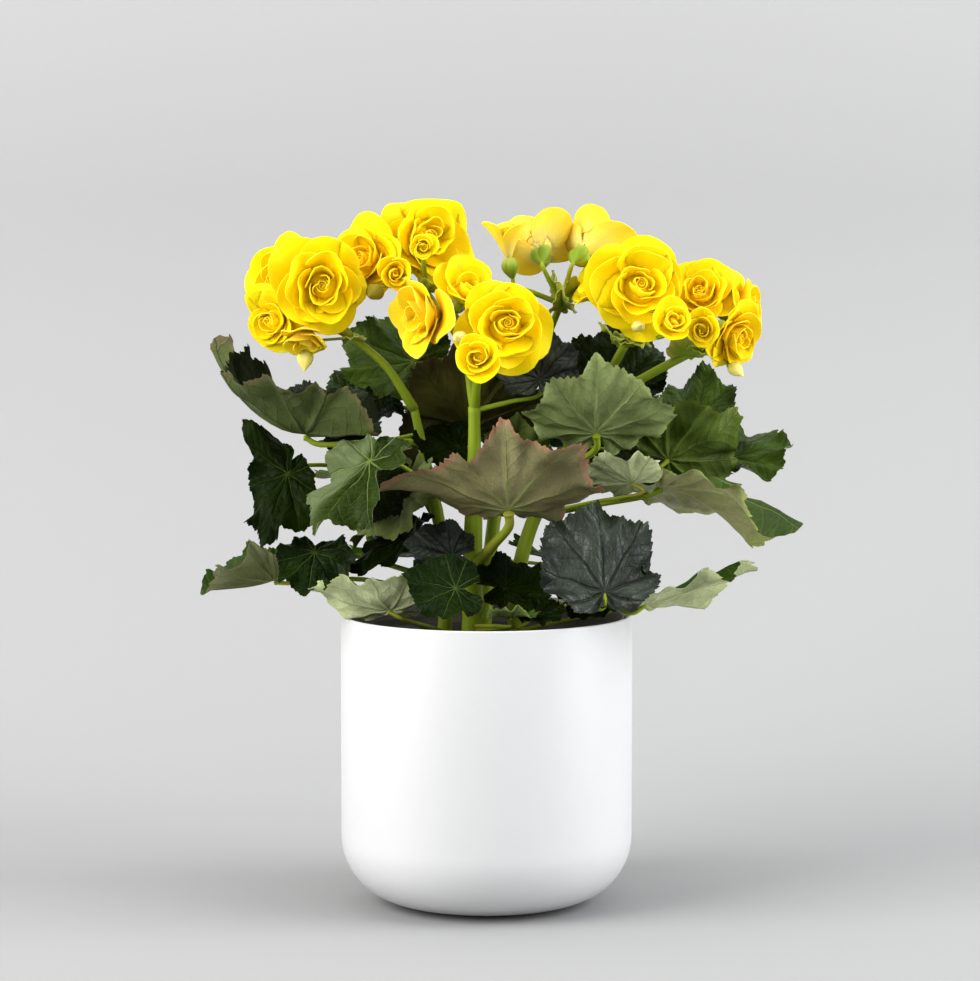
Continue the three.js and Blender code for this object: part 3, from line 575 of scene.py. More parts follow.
def stem_material():
    stem = Finish("stem_green", Subsurface_Weight=0.1, Subsurface_Scale=0.003, Specular_IOR_Level=0.2)
    fibres = stem.streaks(14, 1.5, 4)
    blotches = stem.ramp(stem.noise(stem.place(), 38, 3), 0.42, 0.72)
    green = stem.mix(fibres, (0.2, 0.28, 0.011), (0.36, 0.46, 0.045))
    warm = stem.mix(fibres, (0.25, 0.16, 0.04), (0.36, 0.27, 0.07))
    return stem.dress(
        Base_Color=stem.mix(stem.times(blotches, stem.marks()[2]), green, warm),
        Roughness=stem.ramp(fibres, 0.2, 0.8, 0.34, 0.52),
        Normal=stem.bump(fibres, 0.0003, 0.6))


def green_bud_material():
    bud = Finish("bud_green", Subsurface_Weight=0.15, Subsurface_Scale=0.003, Specular_IOR_Level=0.2)
    clouds = bud.noise(bud.place(), 160, 3)
    colour = bud.mix(clouds, (0.16, 0.25, 0.018), (0.32, 0.44, 0.05))
    return bud.dress(
        Base_Color=bud.mix(bud.ramp(bud.marks()[1], 0.45, 1.0, 0.0, 0.6), colour, (0.5, 0.56, 0.14)),
        Roughness=bud.ramp(clouds, 0.2, 0.8, 0.34, 0.5),
        Normal=bud.bump(clouds, 0.0004, 0.5))


def pot_material():
    pot = Finish("pot_white", Coat_Weight=0.15, Coat_Roughness=0.3)
    fine = pot.noise(pot.place(), 900, 4, 0.6)
    broad = pot.noise(pot.place(), 14, 2)
    return pot.dress(
        Base_Color=pot.mix(broad, (0.62, 0.625, 0.63), (0.655, 0.657, 0.66)),
        Roughness=pot.ramp(fine, 0.25, 0.75, 0.36, 0.5),
        Normal=pot.bump(fine, 0.00008, 0.5))


def nursery_material():
    nursery = Finish("nursery_taupe")
    fine = nursery.noise(nursery.place(), 500, 3)
    dust = nursery.ramp(nursery.noise(nursery.place(), 60, 4), 0.45, 0.75)
    return nursery.dress(
        Base_Color=nursery.mix(nursery.times(dust, 0.5), (0.1, 0.09, 0.077), (0.15, 0.135, 0.115)),
        Roughness=nursery.ramp(dust, 0, 1, 0.45, 0.75),
        Normal=nursery.bump(fine, 0.0001, 0.5))


def cork_material():
    cork = Finish("foot_cork")
    crumbs = cork.cells(cork.place(), 420)
    grains = cork.noise(cork.place(), 900, 3)
    return cork.dress(
        Base_Color=cork.mix(crumbs, (0.28, 0.14, 0.06), (0.55, 0.33, 0.16)),
        Roughness=cork.ramp(grains, 0.3, 0.7, 0.8, 0.98),
        Normal=cork.bump(crumbs, 0.0004, 0.7))


def soil_material():
    soil = Finish("soil_dark")
    crumbs = soil.cells(soil.place(), 260)
    clods = soil.noise(soil.place(), 120, 5, 0.7)
    colour = soil.mix(clods, (0.018, 0.011, 0.007), (0.085, 0.05, 0.028))
    return soil.dress(
        Base_Color=soil.mix(soil.ramp(crumbs, 0.0, 0.25, 0.35, 0.0), colour, (0.16, 0.1, 0.06)),
        Roughness=soil.ramp(clods, 0.3, 0.7, 0.85, 1.0),
        Normal=soil.bump(soil.plus(crumbs, clods), 0.0015, 0.9))


# The backdrop is clear from its rear, so that the plant can also be looked at from there. Its floor
# and the foot of its wall are painted a darker grey than the wall higher up: painted shade that sets
# how bright each part of the backdrop looks.
def stage_material():
    stage = Finish("stage_pale", Roughness=0.75, Specular_IOR_Level=0.2)
    height = stage.parts(stage.place())[2]
    # Painted shade: the darker grey low down, against the lighter grey of the wall above.
    grey = stage.mix(stage.noise(stage.place(), 1.5, 1), (0.352, 0.352, 0.354), (0.366, 0.366, 0.368))
    behind = stage.node("ShaderNodeNewGeometry", {})["Backfacing"]
    return stage.dress(
        Base_Color=stage.mix(stage.ramp(height, 0.1, 0.7), grey, (0.435, 0.435, 0.437)),
        Alpha=stage.minus(1.0, behind))


# ---------------------------------------------------------------- pot, foot, nursery pot, soil

POT_SEGMENTS = 160
MERGE = 1e-6                      # points closer than this are one
ROUNDED_ANGLE = 40                # degrees between a turned piece's faces past which an edge stays sharp


# A turned piece: a closed profile of (radius, height) points, spun round the pot's axis.
def turned_piece(name, profile, material, node, segments=POT_SEGMENTS):
    mesh = bpy.data.meshes.new(name)
    mesh.from_pydata([(radius, 0, height) for radius, height in profile],
                     [(i, i + 1) for i in range(len(profile) - 1)], [])
    thing = bpy.data.objects.new(name, mesh)
    bpy.context.collection.objects.link(thing)
    deselect_all()
    thing.select_set(True)
    bpy.context.view_layer.objects.active = thing
    screw = thing.modifiers.new("turn", "SCREW")
    screw.axis = "Z"
    screw.steps = segments
    screw.render_steps = segments
    screw.use_merge_vertices = True
    screw.merge_threshold = MERGE
    bpy.ops.object.modifier_apply(modifier="turn")
    bpy.ops.object.mode_set(mode="EDIT")
    bpy.ops.mesh.select_all(action="SELECT")
    bpy.ops.mesh.remove_doubles(threshold=MERGE)
    bpy.ops.mesh.normals_make_consistent(inside=False)
    bpy.ops.object.mode_set(mode="OBJECT")
    bpy.ops.object.shade_smooth_by_angle(angle=math.radians(ROUNDED_ANGLE))
    deselect_all()
    thing.data.materials.append(material)
    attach(thing, "root")
    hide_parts(node)


# Points of a quarter or part circle between two angles in degrees, from straight out.
def arc(centre, radius, start, end, steps):
    angles = [math.radians(start + (end - start) * i / steps) for i in range(steps + 1)]
    return [(centre[0] + radius * math.cos(a), centre[1] + radius * math.sin(a)) for a in angles]


# The thin-walled pot with its rolled lip and round heel, and a shallow seat for the foot pad.
def make_cover_pot(material):
    low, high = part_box("cover_pot")
    foot_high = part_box("foot_pad")[1]
    radius, top, proud = high[0], high[2], low[2]
    wall, heel, floor = 0.0014, 0.033, 0.005
    seat, recess = foot_high[0] + 0.0003, foot_high[2] + 0.0002
    lip = wall / 2
    inner = radius - wall
    profile = [(0, recess), (seat, recess), (seat, proud)]
    profile += arc((radius - heel, proud + heel), heel, -90, 0, 24)
    profile += arc((radius - lip, top - lip), lip, 0, 180, 8)
    profile += arc((inner - heel + wall, floor + heel - wall), heel - wall, 0, -90, 16)
    profile += [(0, floor)]
    turned_piece("pot_body", profile, material, "cover_pot")


def make_foot(material):
    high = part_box("foot_pad")[1]
    radius, height = high[0], high[2]
    edge = 0.0004
    profile = [(0, 0), *arc((radius - edge, edge), edge, -90, 0, 4),
               *arc((radius - edge, height - edge), edge, 0, 90, 4), (0, height)]
    turned_piece("foot_disc", profile, material, "foot_pad", 96)


# The pot that the plant grows in: tapered, with a wider band round its top.
def make_nursery_pot(material):
    low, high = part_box("nursery_pot")
    rim, top, base = high[0], high[2], low[2]
    wall, band, neck, foot = 0.0009, 0.009, 0.064, 0.052
    shoulder = top - band
    under = shoulder - 0.002
    profile = [(0, base), (foot, base), (neck, under), (rim, shoulder)]
    profile += arc((rim - wall / 2, top - wall / 2), wall / 2, 0, 180, 6)
    profile += [(rim - wall, shoulder + wall), (neck - wall, under), (foot - wall, base + wall),
                (0, base + wall)]
    turned_piece("nursery_body", profile, material, "nursery_pot", 128)


SOIL_RINGS = 44
SOIL_COLUMNS = 150
CRUMBS_PER_METRE = 260
CRUMB_HEIGHT = 0.0024


# The soil: a crumbly top that swells to the middle, on the plain block that fills the pot.
def make_soil(material):
    low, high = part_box("soil")
    radius, crown, base = high[0] * 0.999, high[2], low[2]
    foot, edge, ease = 0.0505, crown - 0.003, 0.0006
    shares = np.linspace(0, 1, SOIL_RINGS + 1)[1:]
    angles = np.arange(SOIL_COLUMNS) * 2 * math.pi / SOIL_COLUMNS

    def top(share, angle):
        x, y = share * radius * math.cos(angle), share * radius * math.sin(angle)
        level = crown - 0.0026 - (crown - edge) * max(0.0, share - 0.6) / 0.4
        crumbs = noise.fractal(Vector((x, y, 0.4)) * CRUMBS_PER_METRE, 1.0, 2.0, 4)
        return x, y, min(crown, level + CRUMB_HEIGHT * crumbs * (1 if share < 0.98 else 0.2))

    rings = [[top(share, angle) for angle in angles] for share in shares]
    rings += [[(r * math.cos(a), r * math.sin(a), z) for a in angles]
              for r, z in ((radius - ease, edge - 0.006), (foot, base + ease), (foot - ease, base))]
    points = np.vstack([np.reshape(rings, (-1, 3)), [top(0, 0)], [(0, 0, base)]])
    # The rings run outwards and down, so the faces turn the other way round.
    faces = [[face[0], *face[:0:-1]] for face in ring_faces(len(rings), SOIL_COLUMNS)]
    piece = Piece()
    piece.add(points, faces, points[:, :2] / 0.13 + 0.5, np.full((len(points), 3), 0.5))
    piece.finish("soil_bed", material, "soil", ["soil"])


# ---------------------------------------------------------------- leaf blades

PETIOLE = 1.25 * MM
BLADE = 0.65 * MM
LEAF_COLUMNS = 360
SMALL_COLUMNS = 216
BRACT_COLUMNS = 48
LEAF_SHARES = np.array([0.03, 0.09, 0.17, 0.26, 0.35, 0.44, 0.53, 0.61, 0.69, 0.76, 0.82, 0.87, 0.91, 0.95,
                        1.0])
TEETH = 30
LEAST_BEND = 0.5                  # degrees; a ray that hardly bends gets this much
# Heights and widths of what stands out of a blade, in leaf lengths.
COARSE_CRUMPLE = 0.042
FINE_CRUMPLE = 0.024
TROUGH_DEPTH = 0.024
TROUGH_WIDTH = 0.035
RIB_HEIGHT = 0.003

# A blade lies in its own frame: the petiole meets it at the origin, the midrib runs along +X,
# +Y is its left half and +Z its upper side. Each ray from the origin to the margin is an arc
# that starts at one elevation and ends at another, in degrees above the blade's plane.
PLAIN_LEAF = dict(
    roll=0,
    wide=1.0,                     # stretch across the midrib
    skew=0.07,                    # begonia halves are unequal
    cup=8,                        # elevation of every ray at the petiole
    fold=0,                       # more elevation of the side rays
    curl=0,                       # how much the rays bend upward on their way out
    tip=0,                        # more bend towards the tip
    wave=(12, 3, 0),              # height, count and phase of the waves of the margin
    bends=[],                     # (direction, width, start, end): one lobe lifted or lowered
    reach=[],                     # (direction, width, factor): one lobe longer or shorter
    finish="green",
    petiole=PETIOLE,              # radius of its petiole
)


# Distance from petiole to margin, of a leaf one unit long, in directions given in degrees: a heart,
# notched behind the petiole, with small lobes, a drawn-out tip and one half wider than the other.
def margin(direction, leaf):
    side = np.abs(turn(direction, 0))
    angle = np.radians(direction)
    heart = 0.66 + 0.34 * ((1 + np.cos(angle)) / 2) ** 1.5
    sinus = 1 - 0.76 * bell(180 - side, 18)
    lobes = 1 + 0.05 * np.cos(2 * math.pi * side / 42)
    point = 1 + 0.1 * bell(side, 9)
    halves = 1 + leaf["skew"] * np.sin(angle)
    reach = np.ones_like(angle)
    for at, width, scale in leaf["reach"]:
        reach = reach * (1 + (scale - 1) * bell(turn(direction, at), width))
    return heart * sinus * lobes * point * halves * reach


# Saw teeth of the margin, slanting to the tip, with smaller ones between and none two alike.
def tooth(direction, seed):
    side = np.abs(turn(direction, 0))
    phase = side / 360 * TEETH * 2 + 0.35 * np.sin(np.radians(direction * 3 + seed * 50))
    large = 1 - np.mod(phase, 1.0)
    small = 1 - np.mod(phase * 3.0 + 0.3, 1.0)
    uneven = 0.75 + 0.25 * np.sin(np.radians(direction * 7 + seed * 97))
    return uneven * (0.066 * large + 0.032 * small) - 0.046


# Elevation of each ray at the petiole, and its bend on the way out, in degrees.
def ray_angles(leaf, directions):
    angle = np.radians(directions)
    height, count, phase = leaf["wave"]
    start = leaf["cup"] + leaf["fold"] * np.sin(angle) ** 2
    bend = leaf["curl"] + leaf["tip"] * np.maximum(0, np.cos(angle)) ** 2
    bend = bend + height * np.cos(count * angle + math.radians(phase))
    for at, width, first, last in leaf["bends"]:
        near = bell(turn(directions, at), width)
        start = start + first * near
        bend = bend + last * near
    return start, np.where(np.abs(bend) < LEAST_BEND, LEAST_BEND, bend)


# What stands out of the smooth blade, in leaf lengths: a crumpled face, troughs along the main
# veins, and low ribs between them. reach is how far a point is from the petiole.
def relief(angle, reach, share, seed):
    spread = np.radians(VEIN_SPREAD)
    offset = (angle / spread - np.round(angle / spread)) * spread
    distance = np.abs(reach * np.sin(offset))
    trough = bell(distance, TROUGH_WIDTH) * smooth(0.0, 0.15, share) * smooth(1.05, 0.5, share)
    ribs = np.cos(2 * math.pi * (reach * np.cos(offset) - RIB_SLANT * distance) / RIB_SPACING)
    swell = (1 - trough) * smooth(0.05, 0.3, share) * smooth(1.02, 0.8, share)
    x, y = reach * np.cos(angle), reach * np.sin(angle)
    crumple = COARSE_CRUMPLE * np.sin(5.3 * x + seed) * np.sin(4.7 * y + 2 * seed)
    crumple = crumple + FINE_CRUMPLE * np.sin(11 * x + 3 * seed + 2 * y) * np.sin(9.7 * y + seed)
    return crumple * smooth(0.05, 0.5, share) - TROUGH_DEPTH * trough - RIB_HEIGHT * ribs * swell


# Points of the upper face: shares down the rows, directions along the columns.
def blade_points(leaf, directions, seed):
    angle = np.radians(directions)
    share = LEAF_SHARES[:, None]
    start, bend = (np.radians(part) for part in ray_angles(leaf, directions))
    ruffle = 9 * np.sin(7 * angle + seed * 1.7) + 6 * np.sin(12 * angle + seed * 2.9)
    ruffle = ruffle + 4 * np.sin(19 * angle + seed * 4.3)
    bent = bend + np.radians(ruffle) * share
    length = leaf["long"] * margin(directions, leaf)
    length = length * (1 + smooth(0.82, 1.0, share) * tooth(directions, seed))
    out = length * (np.sin(start + bent * share) - np.sin(start)) / bent
    up = length * (np.cos(start) - np.cos(start + bent * share)) / bent
    up = up + leaf["long"] * relief(angle, length * share / leaf["long"], share, seed)
    return np.stack([out * np.cos(angle), out * np.sin(angle) * leaf["wide"], up], axis=-1)


def leaf_turn(leaf):
    turned = Euler([math.radians(part) for part in (leaf["roll"], -leaf["pitch"], leaf["heading"])], "XYZ")
    return Matrix.Translation(leaf["at"]) @ turned.to_matrix().to_4x4()


def add_blade(piece, leaf, columns, seed):
    directions = -180 + (np.arange(columns) + 0.5) * 360 / columns
    angle = np.radians(directions)
    reach = margin(directions, leaf)[None] * LEAF_SHARES[:, None] * PATTERN_SCALE
    flat = np.stack([0.5 + reach * np.cos(angle), 0.5 + reach * np.sin(angle)], axis=-1)

    def thickness(share):
        return BLADE * (0.9 - 0.4 * share ** 3)

    add_sheet(piece, blade_points(leaf, directions, seed), flat, LEAF_SHARES, thickness,
              tint=(seed * 0.37) % 1, turned=leaf_turn(leaf), middle=np.zeros(3))


# ---------------------------------------------------------------- petals and blooms

PETAL = 0.5 * MM
PETAL_ROOT = 0.1                  # how far from the axis petals start, as a share of the bloom's radius
HEART_DEPTH = 0.55                # how far behind the heart they start, as a share of it too
GOLDEN_ANGLE = 137.5
RING_TILT = 3.5                   # degrees that each ring leans over more than the one outside it
HEART_TILT = 14
# How much one petal may differ from the next: in lean and in place round the axis, both in degrees,
# and in size as a share. SPIRAL_VARIES is the part of the first and the last that the spiral has.
LEAN_VARIES = 8
SPIN_VARIES = 12
SIZE_VARIES = 0.11
SPIRAL_VARIES = 0.4
WINDING = 0.07                    # how much one side of a petal lies further out than the other
PETAL_COLUMNS = 17
PETAL_ACROSS = np.sin(np.linspace(-1, 1, PETAL_COLUMNS) * math.pi / 2)
PETAL_ROWS = np.array([0, 0.08, 0.18, 0.3, 0.42, 0.54, 0.65, 0.75, 0.83, 0.9, 0.95, 1.0])

# A bloom's frame: +Z is the way it faces, the origin is its heart and the stalk comes from -Z.
# Whorls of petals, from the outside in: count, length and width as shares of the bloom's radius,
# lean from the axis at the root and further lean at the rim in degrees, the ruffle of the rim as a
# share of the radius too, and the tint, which deepens the yellow.
WHORLS = {
    "open": [
        dict(count=5, long=1.22, wide=1.9, lean=54, flare=34, ruffle=0.13, tint=0.0),
        dict(count=4, long=1.1, wide=1.75, lean=49, flare=10, ruffle=0.11, tint=0.05),
    ],
    "small": [
        dict(count=5, long=1.26, wide=1.8, lean=50, flare=32, ruffle=0.14, tint=0.0),
        dict(count=3, long=1.12, wide=1.7, lean=46, flare=4, ruffle=0.08, tint=0.1),
    ],
    "rolled": [
        dict(count=4, long=1.25, wide=1.8, lean=40, flare=4, ruffle=0.04, tint=0.0),
    ],
    "half": [
        dict(count=4, long=1.4, wide=2.0, lean=38, flare=26, ruffle=0.1, tint=0.0),
        dict(count=3, long=1.2, wide=1.7, lean=34, flare=-6, ruffle=0.06, tint=0.15),
    ],
    "loose": [
        dict(count=4, long=1.45, wide=1.6, lean=40, flare=22, ruffle=0.12, tint=0.0),
        dict(count=3, long=1.25, wide=1.4, lean=28, flare=10, ruffle=0.08, tint=0.1),
    ],
    "funnel": [
        dict(count=3, long=2.1, wide=1.9, lean=16, flare=18, ruffle=0.08, tint=0.0),
        dict(count=3, long=1.7, wide=1.3, lean=9, flare=8, ruffle=0.05, tint=0.2),
    ],
}
# Inside the whorls the petals follow one by one round a spiral, from the first to the last.
SPIRALS = {
    "open": (8, dict(long=1.1, wide=1.75, lean=48, flare=-12, ruffle=0.1, tint=0.05),
             dict(long=0.8, wide=0.95, lean=26, flare=-50, ruffle=0.06, tint=0.4)),
    "small": (8, dict(long=1.04, wide=1.5, lean=46, flare=-18, ruffle=0.07, tint=0.15),
              dict(long=0.8, wide=0.8, lean=26, flare=-50, ruffle=0.04, tint=0.65)),
    "rolled": (6, dict(long=1.12, wide=1.4, lean=38, flare=-18, ruffle=0.03, tint=0.2),
               dict(long=0.92, wide=0.9, lean=24, flare=-46, ruffle=0.03, tint=0.85)),
    "half": (4, dict(long=1.1, wide=1.3, lean=30, flare=-20, ruffle=0.05, tint=0.2),
             dict(long=0.95, wide=0.8, lean=20, flare=-36, ruffle=0.04, tint=0.5)),
    "loose": (4, dict(long=1.1, wide=1.3, lean=26, flare=-16, ruffle=0.05, tint=0.2),
              dict(long=0.9, wide=0.8, lean=18, flare=-30, ruffle=0.04, tint=0.5)),
}


# A petal follows a circle round the axis near its root, and spreads flatter towards its rim. The
# columns at its sides are the shorter ones, which rounds its rim.
def petal_points(petal, radius, lean, seed):
    across = PETAL_ACROSS[None]
    rim = 0.58 + 0.42 * np.sqrt(1 - 0.999 * np.abs(across) ** 2.4) + 0.02 * np.sin(across * 4 + seed)
    reach = PETAL_ROWS[:, None] * rim
    from_axis = math.radians(lean)
    by = math.radians(petal["flare"])
    length = petal["long"] * radius
    out = PETAL_ROOT * radius + length * (math.cos(from_axis) - np.cos(from_axis + by * reach)) / by
    up = length * (np.sin(from_axis + by * reach) - math.sin(from_axis)) / by
    half = 0.5 * petal["wide"] * radius * np.sin(math.pi / 2 * np.minimum(1, 0.14 + reach / 0.56))
    angle = np.clip(across * half / np.maximum(out, 0.3 * radius), -1.3, 1.3)
    out = out + WINDING * radius * across * smooth(0.1, 0.6, reach)
    wave = np.sin(across * 3.4 + seed * 2.1) + 0.35 * np.sin(across * 7.3 + seed * 4.7)
    wave = petal["ruffle"] * radius * reach ** 2 * wave
    curl = 0.025 * radius * smooth(0.7, 1.0, reach) * (0.6 + 0.4 * math.sin(seed * 1.7))
    tilt = math.radians(lean + petal["flare"])
    out = out + (wave + curl) * math.cos(tilt)
    up = up - (wave + curl) * math.sin(tilt)
    return np.stack([out * np.cos(angle), out * np.sin(angle), up - HEART_DEPTH * radius], axis=-1)


COIL_TURNS = 2.4
COIL_COLUMNS = 72
COIL_ROWS = 9


# The rolled heart: one young petal, wound up round the axis and lower towards its middle.
def add_coil(piece, radius, turned, seed):
    share = np.linspace(0, 1, COIL_ROWS)
    t, v = np.meshgrid(np.linspace(0, 1, COIL_COLUMNS), share)
    angle = t * COIL_TURNS * 2 * math.pi + seed
    spread = radius * (0.015 + 0.13 * t) * (0.6 + 0.4 * v + 0.1 * v ** 3)
    height = radius * (0.14 + 0.05 * t + 0.02 * np.sin(angle * 1.6 + seed))
    base = -0.2 * radius
    points = np.stack([spread * np.cos(angle), spread * np.sin(angle), base + v * (height - base)], axis=-1)
    add_sheet(piece, points, np.stack([t, v], axis=-1), share, PETAL * 0.8, tint=0.9, turned=turned)


# The dome under the heart that the inner petals stand on.
def add_receptacle(piece, radius, turned):
    share = np.linspace(0.12, 1, 10)
    angle, along = np.meshgrid(np.arange(24) * math.pi / 12, share)
    out = 0.42 * radius * along
    up = radius * (0.1 - 0.32 * along ** 2)
    points = np.stack([out * np.cos(angle), out * np.sin(angle), up], axis=-1)
    add_sheet(piece, points, 0.5 + points[..., :2] / radius, share, PETAL, tint=0.8, turned=turned,
              middle=np.array([0, 0, 0.1 * radius]))


def bloom_turn(bloom):
    azimuth, elevation = bloom["facing"]
    turned = Euler((0, math.radians(90 - elevation), math.radians(azimuth)), "XYZ")
    return Matrix.Translation(bloom["at"]) @ turned.to_matrix().to_4x4()


# The petals of a bloom, each with its place from the outside in, its shape and its direction round
# the axis in degrees.
def bloom_petals(kind):
    for ring, whorl in enumerate(WHORLS[kind]):
        for i in range(whorl["count"]):
            yield ring, whorl, ring * (180 / whorl["count"] + 8) + i * 360 / whorl["count"]
    if kind in SPIRALS:
        count, first, last = SPIRALS[kind]
        for i in range(count):
            share = i / (count - 1)
            petal = {name: first[name] + (last[name] - first[name]) * share for name in first}
            yield 2 + 2 * share, petal, i * GOLDEN_ANGLE


# No two petals are alike: each leans, grows and stands round the axis a little off its own place.
def add_bloom(piece, bloom, seed):
    radius = bloom["radius"]
    turned = bloom_turn(bloom)
    flat = np.stack(np.meshgrid(0.5 + 0.5 * PETAL_ACROSS, PETAL_ROWS), axis=-1)
    sideways = Vector((math.cos(seed * 2.4), math.sin(seed * 2.4), 0))
    for i, (ring, petal, spin) in enumerate(bloom_petals(bloom["kind"])):
        own = seed * 3.1 + i * 2.4
        uneven = 1.0 if ring < 2 else SPIRAL_VARIES
        lean = petal["lean"] + LEAN_VARIES * uneven * math.sin(own)
        size = radius * (0.98 + SIZE_VARIES * uneven * math.sin(own * 1.9))
        spin = bloom["spin"] + spin + SPIN_VARIES * math.sin(own * 1.3)
        around = Matrix.Rotation(math.radians(spin), 4, "Z")
        around = Matrix.Rotation(math.radians(RING_TILT * ring), 4, sideways) @ around
        add_sheet(piece, petal_points(petal, size, lean, own), flat, PETAL_ROWS, PETAL,
                  tint=petal["tint"], turned=turned @ around)
    if bloom["kind"] in SPIRALS:
        inner = turned @ Matrix.Rotation(math.radians(HEART_TILT), 4, sideways)
        add_coil(piece, radius, inner, seed)
        add_receptacle(piece, radius, inner)


# ---------------------------------------------------------------- the plant

# The four leafy stems, from inside the soil upwards.
STEMS = {
    "centre": dict(radius=0.0047, path=[(-0.007, -0.005, 0.12), (-0.007, -0.005, 0.167),
                                        (-0.006, -0.007, 0.212), (-0.006, -0.008, 0.248)]),
    "left": dict(radius=0.0034, path=[(-0.022, 0.008, 0.12), (-0.02, 0.006, 0.166),
                                      (-0.027, 0.008, 0.205), (-0.036, 0.008, 0.246)]),
    "right": dict(radius=0.0035, path=[(0.014, 0.002, 0.12), (0.017, 0.004, 0.17),
                                       (0.034, 0.008, 0.215), (0.052, 0.012, 0.246)]),
    "back": dict(radius=0.0034, path=[(-0.002, 0.032, 0.12), (0.002, 0.04, 0.172),
                                      (0.01, 0.054, 0.226), (0.02, 0.052, 0.262)]),
}

# The flowering stalks: the stem whose end they leave, and their way on from there.
STALKS = {
    "left": dict(stem="left", radius=0.002, path=[(-0.05, 0, 0.268), (-0.066, -0.005, 0.282)]),
    "top": dict(stem="centre", radius=0.002, path=[(-0.012, -0.005, 0.278), (-0.03, 0.004, 0.304)]),
    "middle": dict(stem="centre", radius=0.0022, path=[(-0.005, -0.014, 0.258), (-0.004, -0.018, 0.266)]),
    "rear": dict(stem="back", radius=0.0018, path=[(0.03, 0.034, 0.28), (0.037, 0.014, 0.298)]),
    "right": dict(stem="right", radius=0.0022, path=[(0.06, 0.006, 0.262), (0.068, -0.004, 0.278)]),
    "far_right": dict(stem="right", radius=0.0022, path=[(0.082, 0.004, 0.264), (0.104, 0, 0.276)]),
}


# The entries of a table, each completed with what most of them have in common.
def complete(plain, table):
    return [plain | entry for entry in table]


# The entries of a table with one value in one column, such as all that grows on one stem.
def chosen(table, column, value):
    return [entry for entry in table if entry[column] == value]


